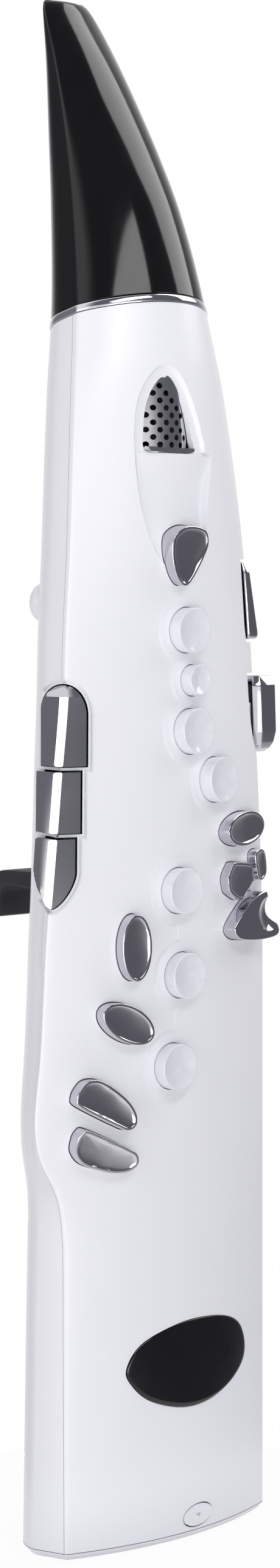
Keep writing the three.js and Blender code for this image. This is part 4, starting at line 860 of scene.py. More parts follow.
def ridge_skin(growth, low, high):
    """The body between two heights, grown by a distance, with its front edges cut off flat."""
    ridge = SIDE_RIDGE + max(growth, 0) * SIDE_RIDGE_GROWTH
    return body_block(low, high, growth, ridge, 1, SIDE_STEP)


def edge_on(z):
    """A frame on the left front edge that looks out between the face and the side."""
    out = Vector((-1, -1, 0)).normalized()
    across = Vector((0, 0, 1)).cross(out).normalized()
    turned = Matrix((across, (0, 0, 1), out)).transposed().to_4x4()
    return Matrix.Translation((left_edge(z), edge_depth(z), z)) @ turned


side_floor = SIDE_TOP
side_openings = []
side_basins = []
for i, name in enumerate(("side_key_upper", "side_key_middle", "side_key_lower")):
    height = SIDE_HEIGHTS[i]
    matrix = edge_on(side_floor - height / 2)
    outline = [Vector((u * SIDE_REACH, (v - 0.5) * height)) for u, v in SIDE_OUTLINES[i]]
    low, high = side_floor - height - SIDE_SPARE, side_floor + SIDE_SPARE
    plate = None
    for inset, growth in SIDE_LAYERS:
        layer = prism(grow(outline, -inset), -SIDE_SWEEP, SIDE_SWEEP, matrix)
        clip(layer, ridge_skin(growth, low, high))
        plate = join(plate, layer) if plate else layer
    if i == 0:
        hood = [
            ring_at([side_floor + z] * RING_COUNT, out, SIDE_RIDGE + 1, 1) for z, out in SIDE_HOOD
        ]
        clip(plate, solid(skin(hood)))
    cut(plate, ridge_skin(-SIDE_THICKNESS, low - 1, high + 1))
    finish(plate, f"{name}_chrome", name, [name], chrome)
    window_back = SIDE_SWEEP + SIDE_WINDOW_BACK
    side_openings.append(prism_form(grow(outline, SIDE_GAP), -window_back, SIDE_SWEEP, matrix))
    for margin, depth in SIDE_BASIN:
        basin = prism(grow(outline, margin), -SIDE_SWEEP, SIDE_SWEEP, matrix)
        cut(basin, ridge_skin(-depth, low, high))
        side_basins.append(basin)
    side_floor -= height + SIDE_RIB
side_windows = join_forms(side_openings, "side_windows")


# The palm touches: pads of moulded ABS, chrome plated, on the right edge. They are bevelled all
# round and drawn to a point below, each on a stem that slides through the black liner behind it.
# How high each pad's top is, how far it stands out at its foot and at its top and reaches in, how
# wide its front bevel is, how its foot fills out, and how its pocket does
PALM_TOPS = {"palm_key_upper": 386.99, "palm_key_lower": 340.52}
PALM_REACH = {"palm_key_upper": (4.8, 1.6, 1.2), "palm_key_lower": (13.4, 13.4, -2.2)}
PALM_BEVELS = {"palm_key_upper": 0.7, "palm_key_lower": 2.8}
PALM_FORMS = {
    "palm_key_upper": ((0, 0.8), (1, 0.95), (2.5, 1)),
    "palm_key_lower": ((0, 0.4), (1.5, 0.66), (4, 0.86), (8.5, 1)),
}
PALM_POCKETS = {
    "palm_key_upper": ((0, 0.85), (0.2, 1), (1, 0.9)),
    "palm_key_lower": ((0, 0.1), (0.2, 0.6), (0.4, 0.86), (0.7, 1), (1, 1)),
}
PALM_HEIGHT = 31.5
PALM_DEPTH = 13
PALM_FRONT = 4
PALM_BEVEL = 4.2
PALM_POCKET = 5.2
PALM_POCKET_BACK = 22
PALM_MARGIN = 1.2
PALM_SOFT = 0.45
PALM_TOP_SHARE = 0.75
PALM_STEM = (5, 9)
PALM_STEM_REACH = 10
STRIP_STEPS = 24
STRIP_SLACK = 0.001
FAR = 2 * HEIGHT
palm_middle = PALM_FRONT + PALM_DEPTH / 2


def front_on(x=0, z=0):
    """A frame whose X and Y are the X and Z of the front view, and whose Z points out of it."""
    return Matrix(((1, 0, 0, x), (0, 0, -1, 0), (0, 1, 0, z), (0, 0, 0, 1)))


def edge_strip(shares, low, high):
    """A block outside a curve along the right edge, between two heights."""
    points = [Vector((FAR, low)), Vector((FAR, high))]
    for i in range(STRIP_STEPS + 1):
        up = 1 - i / STRIP_STEPS
        spans = zip(shares, shares[1:])
        (a, near), (b, far) = next(span for span in spans if up <= span[1][0] + STRIP_SLACK)
        inset = PALM_POCKET * (near + (far - near) * (up - a) / (b - a))
        z = low + (high - low) * up
        points.append(Vector((taper(z) - inset, z)))
    return prism(points, -PALM_POCKET_BACK, FAR, front_on())


palm_pockets = []
for name, top in PALM_TOPS.items():
    reach, top_reach, inset = PALM_REACH[name]
    rings = []
    levels = [(top - PALM_HEIGHT + up, share) for up, share in PALM_FORMS[name]]
    for z, share in (*levels, (top - PALM_BEVEL, 1), (top, PALM_TOP_SHARE)):
        out = reach + (top_reach - reach) * (1 - (top - z) / PALM_HEIGHT)
        inside, outside = taper(z) - inset, taper(z) + out
        bevel = PALM_BEVELS[name]
        middle = Vector(((inside + outside) / 2, palm_middle))
        corners = [
            (inside, PALM_FRONT + bevel), (inside + bevel, PALM_FRONT), (outside, PALM_FRONT),
            (outside, PALM_FRONT + PALM_DEPTH), (inside, PALM_FRONT + PALM_DEPTH),
        ]
        rings.append([Vector((*Vector(c).lerp(middle, 1 - share), z)) for c in corners])
    form = skin(rings)
    bmesh.ops.bevel(
        form, geom=form.edges[:], offset=PALM_SOFT, segments=3, profile=0.5, affect="EDGES",
        material=-1,
    )
    pad = solid(form, name)
    centre = top - PALM_HEIGHT / 2
    stem = bmesh.new()
    bmesh.ops.create_cube(stem, size=1)
    inner_end, outer_end = taper(centre) - PALM_STEM_REACH, taper(centre) - inset + STEM_LAP
    stem.transform(
        Matrix.Translation(((inner_end + outer_end) / 2, palm_middle, centre))
        @ Matrix.Diagonal((outer_end - inner_end, *PALM_STEM, 1))
    )
    join(pad, solid(stem))
    finish(pad, f"{name}_chrome", name, [name], chrome)
    palm_pockets.append((PALM_POCKETS[name], top - PALM_HEIGHT - PALM_MARGIN, top + PALM_MARGIN))


# The speaker: a plate of polished steel, punched with round holes, at the bottom of an arched
# recess, whose soft rim is moulded in the case. A ledge closes the recess below.
GRILLE_SHARES = [
    (-0.5, -0.42), (-0.5, -0.2), (-0.46, 0.08), (-0.36, 0.3), (-0.22, 0.46), (-0.12, 0.5),
    (0, 0.44), (0.16, 0.24), (0.3, 0), (0.42, -0.24), (0.5, -0.46), (0.2, -0.5), (-0.1, -0.49),
    (-0.42, -0.48),
]
GRILLE_PLACE = (-0.105, 0.7193)
GRILLE_WIDTH = 25
GRILLE_HEIGHT = 30
GRILLE_SINK = 2
GRILLE_BOW = 0.022
GRILLE_THICKNESS = 0.8
GRILLE_LIP = 1.2
GRILLE_SPAN = 26
GRILLE_REACH = 20
GRILLE_STEPS = 36
SEAT_BACK = 9
HOLE_WIDTH = 2.3
HOLE_STEP = 5.2
HOLE_ROW = 2.9
HOLE_ROWS, HOLE_COLUMNS = 6, 4
HOLE_SIDES = 24
HOLE_SHIFT = 0.6
HOLE_EDGE_SHARE = 0.6
LEDGE_PROFILE = ((0.9, 0), (5.4, 0), (3.4, 2.6), (1.3, 2.2))
RECESS_MARGIN = 4.5
RECESS_STEPS = ((-1.3, -1.5), (-0.8, -1.25), (-0.1, -0.35), (0.5, 0.1), (1.5, 4))
BEHIND, BEFORE = 30, 60
grille_x, grille_z = GRILLE_PLACE[0] * FOOT_HALF_WIDTH, GRILLE_PLACE[1] * HEIGHT
grille_outline = [
    p + Vector((grille_x, grille_z))
    for p in smooth_outline(GRILLE_SHARES, GRILLE_WIDTH, GRILLE_HEIGHT)
]
recess_floor = grille_z - GRILLE_HEIGHT / 2
# Stainless steel, rolled and polished: rolling lines of 1 mm that run upwards in a bright mirror,
# drawn coarser than the real ones so that they show.
polished = surface(
    "stainless steel, rolled and polished", ("#DEDEE2", "#D2D2D8"), 5, (0.04, 0.1), 1, 0.003,
    (1, 1, 12), 1.0)


def side_on(points, low, high):
    """A straight solid on an outline of depths and heights, from one X to another."""
    turned = Matrix(((0, 0, 1, 0), (1, 0, 0, 0), (0, 1, 0, 0), (0, 0, 0, 1)))
    return prism([Vector(p) for p in points], low, high, turned)


def through_front(outline, name="cutter"):
    """A straight solid on an outline as seen from the front, right through the face."""
    return prism(outline, -BEHIND, BEFORE, front_on(), name)


def within(points, place):
    """Whether a place lies inside an outline."""
    odd = False
    for a, b in zip(points, points[1:] + points[:1]):
        if (a.y > place.y) != (b.y > place.y):
            odd ^= a.x + (place.y - a.y) / (b.y - a.y) * (b.x - a.x) > place.x
    return odd


def block_before(depth, low, high):
    """A block in front of a surface that lies some depth behind the face, between two heights."""
    rings = []
    shares = [i / GRILLE_STEPS for i in range(GRILLE_STEPS + 1)]
    line = [grille_x + GRILLE_SPAN * (2 * share - 1) for share in shares]
    for share in shares:
        z = low + (high - low) * share
        floor_line = [Vector((x, face_depth(x, z) + depth(x, z), z)) for x in line]
        rings.append([Vector((line[-1], -FAR, z)), Vector((line[0], -FAR, z)), *floor_line])
    return solid(skin(rings))


def bowed(sink):
    """A block in front of a surface that bows back to both sides of the grille."""
    return block_before(
        lambda x, z: sink + GRILLE_BOW * (x - grille_x) ** 2,
        grille_z - GRILLE_REACH, grille_z + GRILLE_REACH,
    )


grille = through_front(grow(grille_outline, GRILLE_LIP), "grille")
clip(grille, bowed(GRILLE_SINK + GRILLE_THICKNESS))
cut(grille, bowed(GRILLE_SINK))
hole_field = grow(grille_outline, -HOLE_WIDTH * HOLE_EDGE_SHARE)
hole = ellipse(HOLE_WIDTH, HOLE_WIDTH, HOLE_SIDES)
holes = []
for row in range(-HOLE_ROWS, HOLE_ROWS + 1):
    for column in range(-HOLE_COLUMNS, HOLE_COLUMNS + 1):
        across = HOLE_SHIFT + (column + row % 2 / 2) * HOLE_STEP
        spot = Vector((grille_x + across, grille_z + row * HOLE_ROW))
        if within(hole_field, spot):
            holes.append(prism_form(hole, -BEHIND, BEHIND, front_on(*spot)))
cut(grille, join_forms(holes))
ledge_y = face_depth(grille_x, recess_floor)
ledge_points = [(ledge_y + behind, recess_floor + up) for behind, up in LEDGE_PROFILE]
ledge = side_on(ledge_points, -BEHIND, BEHIND)
clip(ledge, through_front(grow(grille_outline, -JOINT / 2)))
join(grille, ledge)
finish(grille, "speaker_grille_plate", "case", ["speaker_grille"], polished)
recess_steps = [(RECESS_MARGIN + wider, height) for wider, height in RECESS_STEPS]
recess = solid(draped(grille_outline, recess_steps))
below = side_on([(-FAR, recess_floor), (FAR, recess_floor), (FAR, 0), (-FAR, 0)], -FAR, FAR)
cut(recess, below)
grille_opening = through_front(grille_outline)
grille_seat = through_front(grow(grille_outline, GRILLE_LIP + JOINT))
clip(grille_seat, bowed(SEAT_BACK))
cut(grille_seat, bowed(GRILLE_SINK - JOINT))


# The case: two shells of injection moulded white ABS. The front shell carries raised plateaus
# round the touches, the speaker's recess and the scoop above the drop shaped touch, and the rear
# shell closes it along a seam just behind the left front edge.
SHELL_LOW = 2.9
SHELL_STRAIGHT = 468
RING_RISE = 485.13
RING_TILT = math.radians(13.5)
RING_MIDDLE = 28
RING_ROUNDS = 12
INNER_EDGE = 4
HOLLOW_LOW = -2
HOLLOW_OVERRUN = 4
PLATEAU_LOW, PLATEAU_HIGH = 170, 385
PLATEAU_RISE = 0.7
PLATEAU_MARGIN = 4.2
PLATEAU_LAYERS = ((0.4, 0.7), (0.75, 0.3), (1, 0))
PLATEAU_FADE_END = 34
PLATEAU_FADE_RUN = 40
PLATEAU_LEAST = 0.02
PLATEAU_SIDES = 96
POD_LOW = 370
POD_HIGH = 480
POD_OVERRUNS = (10, 8)
POD_PLACE = (-0.037, 424)
POD_SIZE = (50, 96)
POD_INSET = 0.1
POD_BACK = 4.7
SCOOP_DEPTH = 3.3
SCOOP_SHARES = [
    (0.6155, 0), (0.6214, 0.06), (0.631, 0.25), (0.642, 0.58), (0.654, 0.88), (0.6667, 1),
    (0.678, 0.9), (0.69, 0.5), (0.695, 0.4), (0.7, 0.36),
]
SCOOP_OUTLINE = [
    (-20.5, 429.3), (-20.2, 424), (-19.6, 418), (-18.4, 411), (-16.6, 404), (-14.2, 397.5),
    (-11, 392), (-7, 387.5), (-1, 384), (5, 384), (10, 388), (13, 394), (14.2, 401.4),
    (14.3, 408.5), (15, 416), (16, 423), (16.9, 429.3),
]
SCOOP_STEEP_X = 12
SCOOP_STEEP_SHARE = 0.15
SCOOP_WALL = ((-1, -6), (0, -3), (1.1, -1.2), (2.4, 0), (3.4, 0.8), (4, 4))
SEAM_SETBACK = 3
SEAM_START = 0.27
SEAM_LOW, SEAM_HIGH, SEAM_STEPS = -1, 530, 90
ring_drop = (RING_MIDDLE - edge_depth(RING_RISE)) * math.tan(RING_TILT)
ring_matrix = Matrix.Translation((0, RING_MIDDLE, RING_RISE - ring_drop))
ring_matrix = ring_matrix @ Matrix.Rotation(-RING_TILT, 4, "X")


def twin(body):
    """A copy of a solid, to cut or to be cut with."""
    made = body.copy()
    made.data = body.data.copy()
    bpy.context.scene.collection.objects.link(made)
    return made


def tilted_heights(lift):
    """The heights of the body's points in the leaning plane of the ring, moved up by a lift."""
    heights = [RING_RISE] * RING_COUNT
    front = edge_depth(RING_RISE)
    for _ in range(RING_ROUNDS):
        heights = [
            RING_RISE - (p.y - front) * math.tan(RING_TILT) + lift / math.cos(RING_TILT)
            for p in body_ring_at(heights)
        ]
    return heights


def seam_depth(z):
    """How far back the seam between the shells lies at a height."""
    return edge_depth(z) + SEAM_SETBACK * (SEAM_START + (1 - SEAM_START) * z / RING_RISE)


def front_region(shift):
    """Everything in front of the seam."""
    points = [(-FAR, SEAM_HIGH), (-FAR, SEAM_LOW)]
    for i in range(SEAM_STEPS + 1):
        z = SEAM_LOW + (SEAM_HIGH - SEAM_LOW) * i / SEAM_STEPS
        points.append((seam_depth(z) + shift, z))
    return side_on(points, -FAR, FAR)


def plateau_rise(p):
    """How far the plateaus stand out of the face: they fade into it towards the right."""
    return max(PLATEAU_LEAST, min(1, (PLATEAU_FADE_END - p.x) / PLATEAU_FADE_RUN)) * PLATEAU_RISE


outer_rings = level_rings(SHELL_LOW, SHELL_STRAIGHT) + [ring_at(tilted_heights(-JOINT))]
inner_rings = level_rings(HOLLOW_LOW, SHELL_STRAIGHT, -WALL, INNER_EDGE)
inner_rings.append(ring_at(tilted_heights(HOLLOW_OVERRUN), -WALL, INNER_EDGE))
case = solid(skin(outer_rings), "case")
for share, wider in PLATEAU_LAYERS:
    margin = PLATEAU_MARGIN + wider
    raised = body_block(PLATEAU_LOW, PLATEAU_HIGH, lambda p: plateau_rise(p) * share)
    zone = None
    for chain in (ROUND_TOUCHES[:4], ROUND_TOUCHES[4:]):
        before = None
        for _, x_share, z_share, width in chain:
            spot = Vector((x_share * FOOT_HALF_WIDTH, z_share * HEIGHT))
            rim = ellipse(width + 2 * margin, width + 2 * margin, PLATEAU_SIDES)
            disc = prism(rim, 0, BEFORE, front_on(*spot))
            zone = join(zone, disc) if zone else disc
            if before:
                way = (before - spot).normalized()
                over = Vector((-way.y, way.x)) * margin
                link = [spot + over, spot - over, before - over, before + over]
                link = [p + Vector((margin, 0)) for p in link]
                join(zone, prism(link, 0, BEFORE, front_on()))
            before = spot
    clip(raised, zone)
    join(case, raised)
cut(case, solid(skin(inner_rings)))
pod = body_block(POD_LOW, POD_HIGH, -POD_INSET)
pod_low, pod_high = POD_LOW - POD_OVERRUNS[0], POD_HIGH + POD_OVERRUNS[1]
pod_inside = level_rings(pod_low, pod_high, -POD_BACK, INNER_EDGE)
cut(pod, solid(skin(pod_inside)))
pod_middle = Vector((POD_PLACE[0] * FOOT_HALF_WIDTH, POD_PLACE[1]))
pod_outline = [p + pod_middle for p in ellipse(*POD_SIZE)]
clip(pod, through_front(pod_outline))
join(case, pod)
scoop_depth = follow(SCOOP_SHARES, SCOOP_DEPTH)
scoop_low, scoop_high = (SCOOP_SHARES[i][0] * HEIGHT for i in (0, -1))
scoop = block_before(lambda x, z: scoop_depth(z), scoop_low, scoop_high)
scoop_steps = [
    (lambda p, wide=wide: wide if p.x < SCOOP_STEEP_X else wide * SCOOP_STEEP_SHARE, height)
    for wide, height in SCOOP_WALL
]
scoop_zone = solid(draped([Vector(p) for p in SCOOP_OUTLINE], scoop_steps))
clip(scoop, scoop_zone)
cut(case, scoop)
case_cutters = [recess, grille_seat, grille_opening, badge_seat]
case_cutters += [*map(solid, openings), *side_basins, side_windows]
case_cutters += [edge_strip(*pocket) for pocket in palm_pockets]
for cutter in case_cutters:
    cut(case, cutter)
front = twin(case)
clip(front, front_region(0))
finish(front, "front_shell_moulding", "case", ["front_shell"], white)
rear = cut(case, front_region(JOINT))


# The octave touches: two smooth domes of the case's ABS on the back, for the left thumb. Each
# is moulded, and slides in its own round hole of the rear shell.
OCTAVES = (("octave_up_key", -0.561, 0.5995), ("octave_down_key", -0.056, 0.5995))
OCTAVE_WIDTH = 15.5
OCTAVE_RISE = 6.8
OCTAVE_STRAIGHT = 0.25
OCTAVE_STEPS = 12
OCTAVE_HOLE_BACK = 12


def back_depth(x, z):
    """How far back the rounded back lies at a place."""
    low, high = back_span(z)
    shoulder = edge_depth(z) + side(z)
    share = min(max((2 * x - low - high) / (high - low), -1), 1)
    return shoulder + (back(z) - shoulder) * math.sqrt(1 - share * share)


for name, x_share, z_share in OCTAVES:
    x, z, step = x_share * FOOT_HALF_WIDTH, z_share * HEIGHT, 0.5
    across = (back_depth(x + step, z) - back_depth(x - step, z)) / (2 * step)
    along = (back_depth(x, z + step) - back_depth(x, z - step)) / (2 * step)
    matrix = facing(Vector((x, back_depth(x, z), z)), Vector((-across, 1, -along)))
    dome = []
    for i in range(OCTAVE_STEPS + 1):
        turn = math.pi / 2 * i / OCTAVE_STEPS
        height = OCTAVE_RISE * (OCTAVE_STRAIGHT + (1 - OCTAVE_STRAIGHT) * math.cos(turn))
        dome.append((OCTAVE_WIDTH / 2 * math.sin(turn), height))
    touch = solid(spun([*dome, (OCTAVE_WIDTH / 2, -TOUCH_FOOT), (0, -TOUCH_FOOT)], matrix), name)
    finish(touch, f"{name}_dome", name, [name], white)
    hole = ellipse(OCTAVE_WIDTH + 2 * KEY_GAP, OCTAVE_WIDTH + 2 * KEY_GAP)
    cut(rear, prism(hole, -OCTAVE_HOLE_BACK, OCTAVE_RISE, matrix))


# The battery cover: a plate of the rear shell's white ABS, moulded, that snaps over the batteries
# with a fine gap round it. A bulkhead closes the case above and below them.
COVER_LOW, COVER_HIGH, COVER_DEPTH = 36.03, 130.03, 24
COVER_GAP = 0.3
COVER_BLANK_TOP = 170
COVER_OVERRUN = 10
COVER_GROOVES = ((COVER_HIGH, 3, 1.4), (COVER_LOW, 1.4, 0.8))
GROOVE_STEPS = ((-1.2, 0), (-1, 0), (-0.2, 1), (0.2, 1), (1, 0), (1.2, 0))
GROOVE_CLEAR = 0.02
BULKHEAD = 2
BULKHEAD_EDGE = 3
BULKHEAD_FRONT = 16


def cover_zone(gap):
    """Everything behind the cover's opening, less a gap all round."""
    low, high, deep = COVER_LOW + gap, COVER_HIGH - gap, COVER_DEPTH + gap
    return side_on([(deep, low), (FAR, low), (FAR, high), (deep, high)], -FAR, FAR)


grooves = []
for z, half, deep in COVER_GROOVES:
    low, high = z - half, z + half
    groove = side_on([(COVER_DEPTH, low), (FAR, low), (FAR, high), (COVER_DEPTH, high)], -FAR, FAR)
    waist = [
        ring_at([z + up * half] * RING_COUNT, -deep if sunk else GROOVE_CLEAR)
        for up, sunk in GROOVE_STEPS
    ]
    grooves.append(cut(groove, solid(skin(waist))))
cover = solid(skin(level_rings(SHELL_LOW, COVER_BLANK_TOP)), "cover")
cover_inside = level_rings(HOLLOW_LOW, COVER_BLANK_TOP + COVER_OVERRUN, -WALL, INNER_EDGE)
cut(cover, solid(skin(cover_inside)))
clip(cover, cover_zone(COVER_GAP))
for groove in grooves:
    cut(cover, twin(groove))
    cut(rear, groove)
finish(cover, "battery_cover_plate", "battery_cover", ["battery_cover"], white)
cut(rear, cover_zone(0))
for z in (COVER_LOW - BULKHEAD, COVER_HIGH):
    bulkhead = body_block(z, z + BULKHEAD, -WALL / 2, BULKHEAD_EDGE)
    behind = [(BULKHEAD_FRONT, -FAR), (FAR, -FAR), (FAR, FAR), (BULKHEAD_FRONT, FAR)]
    clip(bulkhead, side_on(behind, -FAR, FAR))
    join(rear, bulkhead)


# The case screws: pan heads of zinc plated steel, sunk in wells on the back, which hold the
# two shells together.
SCREW_SHARES = (
    (0.62, 0.036), (-0.62, 0.036), (0.62, 0.221), (-0.62, 0.221), (0.62, 0.66), (-0.62, 0.66),
)
SCREW_HEAD = 2.8
SCREW_HEAD_RISE = 1.8
SCREW_SOFT = 0.6
SCREW_SHANK = 1.3
SCREW_LENGTH = 10
SCREW_SIDES = 32
CROSS_HALF = 1.5
CROSS_WIDTH = 0.35
CROSS_FLOOR = 0.8
CROSS_TOP = 4
WELL_FLOOR = 22.5
WELL_BACK = 21.3
WELL_REACH = 8
WELL_OUTSIDE = 8.6
WELL_INSIDE = 6.2
SHANK_HOLE = 3.2
SHANK_HOLE_BACK = 20
# Steel, zinc plated: crystals of 1.2 mm, each a little bluer or yellower and duller than the
# next. The real ones are finer, and are drawn coarser so that they show.
CRYSTAL = 1.2
steel = surface(
    "steel, zinc plated", ("#BDBFC6", "#B2B0AC"), 3, (0.25, 0.4), 0.8, 0.01, metallic=1.0)
steel_tree = steel.node_tree
steel_place = add_node(steel_tree, "ShaderNodeTexCoord").outputs["Object"]
crystals = add_node(
    steel_tree, "ShaderNodeTexVoronoi", {"Vector": steel_place, "Scale": 1 / (CRYSTAL * MM)})
steel_tree.links.new(crystals.outputs["Color"], steel_tree.nodes["Mix"].inputs["Factor"])
turn_back = Matrix(((1, 0, 0, 0), (0, 0, 1, 0), (0, -1, 0, 0), (0, 0, 0, 1)))
for i, (share, level) in enumerate(SCREW_SHARES):
    z = level * HEIGHT
    x = share * (-left_edge(z) if share < 0 else taper(z))
    matrix = Matrix.Translation((x, 0, z)) @ turn_back
    head = WELL_FLOOR + JOINT
    shoulder = head + SCREW_HEAD_RISE - SCREW_SOFT
    profile = [
        (0, head + SCREW_HEAD_RISE), *arc(SCREW_HEAD - SCREW_SOFT, shoulder, SCREW_SOFT, 90, 0),
        (SCREW_HEAD, head), (SCREW_SHANK, head), (SCREW_SHANK, head - SCREW_LENGTH),
        (0, head - SCREW_LENGTH),
    ]
    screw = solid(spun(profile, matrix, SCREW_SIDES), "screw")
    blade = [
        Vector((u * CROSS_HALF, v * CROSS_WIDTH)) for u, v in ((-1, -1), (1, -1), (1, 1), (-1, 1))
    ]
    for turn in (0, math.pi / 2):
        turned = matrix @ Matrix.Rotation(turn, 4, "Z")
        cut(screw, prism(blade, head + CROSS_FLOOR, head + CROSS_TOP, turned))
    finish(screw, f"case_screw_{i + 1}_head", "case", [f"case_screw_{i + 1}"], steel)
    well = prism(ellipse(WELL_OUTSIDE, WELL_OUTSIDE, SCREW_SIDES), WELL_BACK, FAR, matrix)
    low, high = max(z - WELL_REACH, SHELL_LOW), z + WELL_REACH
    clip(well, body_block(low, high, -WALL / 2, BULKHEAD_EDGE))
    join(rear, well)
    for width, bottom in ((WELL_INSIDE, WELL_FLOOR), (SHANK_HOLE, SHANK_HOLE_BACK)):
        cut(rear, prism(ellipse(width, width, SCREW_SIDES), bottom, FAR, matrix))
finish(rear, "rear_shell_moulding", "case", ["rear_shell"], white)


# The foot: a bevelled cap of white ABS that closes the case below, with openings for the two
# round sockets and the USB socket.
FOOT_BEVEL = 2.3
FOOT_TOP = 2.6
FOOT_SOFT = (0.12, 0.15)
JACK_X = 17
JACK_DEPTH = 15.3
JACK_WIDTH = 6.6
USB_CORNERS = ((-5.4, 10.4), (5.4, 10.4), (5.4, 15.5), (-5.4, 15.5))
SOCKET_REACH = 9
foot_steps = (
    (-FOOT_BEVEL, 0), (-FOOT_SOFT[0], FOOT_BEVEL), (0, FOOT_BEVEL + FOOT_SOFT[1]), (0, FOOT_TOP),
)
foot_base = body_ring_at([0] * RING_COUNT)
foot_rings = [[Vector((*p, z)) for p in grow(foot_base, wider)] for wider, z in foot_steps]
foot = solid(skin(foot_rings), "foot")
for x in (JACK_X, -JACK_X):
    jack = ellipse(JACK_WIDTH, JACK_WIDTH)
    jack = prism(jack, -SOCKET_REACH, SOCKET_REACH, Matrix.Translation((x, JACK_DEPTH, 0)))
    cut(foot, jack)
usb_hole = [Vector(p) for p in USB_CORNERS]
cut(foot, prism(usb_hole, -SOCKET_REACH, SOCKET_REACH))
finish(foot, "foot_cap_moulding", "case", ["foot_cap"], white)


# The trim ring: a turned band of chromed brass with rounded edges, pressed on to the top of the
# case below the mouthpiece.
RING_HEIGHT = 3
BORE_OVERRUNS = (2, 3)
RING_STEPS = (
    (0.1, 0), (0.35, 0.12), (0.5, 0.4), (0.56, 1), (0.58, 1.5), (0.56, 2), (0.5, 2.6),
    (0.35, 2.88), (0.1, RING_HEIGHT),
)
# Brass, turned, polished and chromed: lines of 0.6 mm that run round the band, drawn coarser
# than the tool's real ones so that they show.
bright = surface(
    "brass, turned and bright chromed", ("#DDDDE2", "#CFCFD6"), 4, (0.04, 0.1), 0.6, 0.004,
    (20, 20, 1), 1.0)
band = solid(skin([ring_at(tilted_heights(lift), growth) for growth, lift in RING_STEPS]), "band")
bore_lifts = (-BORE_OVERRUNS[0], RING_HEIGHT + BORE_OVERRUNS[1])
bore = [ring_at(tilted_heights(lift), -WALL, INNER_EDGE) for lift in bore_lifts]
cut(band, solid(skin(bore)))
finish(band, "trim_ring_band", "case", ["trim_ring"], bright)


# The neck: a moulded tube of black ABS, held in the top of the case by its flange, that carries
# the mouthpiece on a rubber seal.
NECK_RADIUS, NECK_BORE, NECK_TOP, NECK_SOFT = 9.5, 2.6, 32, 0.5
SPIGOT_RADIUS, SPIGOT_LOW = 5.5, -10
GROOVE_RADIUS, GROOVE_LOW, GROOVE_TOP = 7.7, 16.8, 19.2
FLANGE_INSET, FLANGE_HALF, FLANGE_BORE = 2.6, 2.4, 12
FLANGE_BORE_LOW, FLANGE_BORE_HIGH = -20, 40
SEAL_INSIDE, SEAL_HALF, SEAL_SIDES = 8.7, 0.8, 16
# Black ABS, moulded in a spark eroded tool: an even matt grain of 0.8 mm, drawn coarser than the
# real one so that it shows.
black_abs = surface(
    "black ABS, spark eroded", ("#1A1A1E", "#222226"), 6, (0.4, 0.55), 0.8, 0.05)
neck_profile = [
    (NECK_BORE, NECK_TOP), *arc(NECK_RADIUS - NECK_SOFT, NECK_TOP - NECK_SOFT, NECK_SOFT, 90, 0),
    (NECK_RADIUS, GROOVE_TOP), (GROOVE_RADIUS, GROOVE_TOP), (GROOVE_RADIUS, GROOVE_LOW),
    (NECK_RADIUS, GROOVE_LOW), (NECK_RADIUS, 0), (SPIGOT_RADIUS, 0), (SPIGOT_RADIUS, SPIGOT_LOW),
    (NECK_BORE, SPIGOT_LOW), (NECK_BORE, NECK_TOP),
]
neck = solid(spun(neck_profile, ring_matrix), "neck")
flange = solid(skin([
    ring_at(tilted_heights(lift), -FLANGE_INSET, INNER_EDGE) for lift in (-FLANGE_HALF, FLANGE_HALF)
]))
flange_bore = ellipse(FLANGE_BORE, FLANGE_BORE)
cut(flange, prism(flange_bore, FLANGE_BORE_LOW, FLANGE_BORE_HIGH, ring_matrix))
join(neck, flange)
finish(neck, "neck_tube_turned", "case", ["neck_tube"], black_abs)
seal_profile = arc(SEAL_INSIDE, (GROOVE_LOW + GROOVE_TOP) / 2, SEAL_HALF, 0, 360, SEAL_SIDES)
# Nitrile rubber, moulded: matt black with a grain of 1 mm, drawn coarser so that it shows, and a
# grey bloom in patches of 8 mm.
rubber = surface(
    "nitrile rubber, moulded", ("#1C1C1F", "#2B2B2E"), 8, (0.5, 0.7), 1, 0.04)
seal = solid(spun(seal_profile, ring_matrix), "seal")
finish(seal, "neck_seal_ring", "case", ["neck_seal"], rubber)


# The mouthpiece: a beak of polished black ebonite that leans back to a thin rounded tip, with a
# slot for the breath, a bore for the neck, and a flat seat behind for the reed.
BEAK_LOW = 3.3
BEAK_SOFT = 0.35
BEAK_LEVELS = 44
BEAK_BORE_LOW = -20
TIP_ROUND = 1.6
TIP_STEPS = ((0, -TIP_ROUND), (-0.12, -1), (-0.4, -0.5), (-0.9, -0.15), (-TIP_ROUND, 0))
REED_TOP, REED_LENGTH, REED_HALF = HEIGHT - 2, 62, 7.5
REED_SEAT = 1.3
REED_SOFT = 0.15
REED_THICKNESS = ((0, 2), (0.5, 1.6), (1, 0.6))
SLOT_LOW, SLOT_HALF, SLOT_HALF_WIDTH = HEIGHT - 34, 0.7, 4.5
# Ebonite, milled and polished: deep black with polishing lines of 1.5 mm along the beak, drawn
# coarser so that they show, and a faint brown drift of 15 mm, as the hard rubber has.
ebonite = surface(
    "ebonite, milled and polished", ("#08080A", "#0F0E10"), 15, (0.06, 0.14), 1.5, 0.004, (1, 1, 8))
base_heights = tilted_heights(BEAK_LOW + BEAK_SOFT)
beak_rings = [ring_at(tilted_heights(BEAK_LOW), -BEAK_SOFT), ring_at(base_heights)]
for i in range(1, BEAK_LEVELS):
    share = i / BEAK_LEVELS
    levels = [base * (1 - share) + (HEIGHT - TIP_ROUND) * share for base in base_heights]
    beak_rings.append(ring_at(levels))
for drop, inset in reversed(TIP_STEPS):
    beak_rings.append(ring_at([HEIGHT + drop] * RING_COUNT, inset))
beak = solid(skin(beak_rings), "beak")
beak_bore = ellipse(2 * NECK_RADIUS + JOINT, 2 * NECK_RADIUS + JOINT)
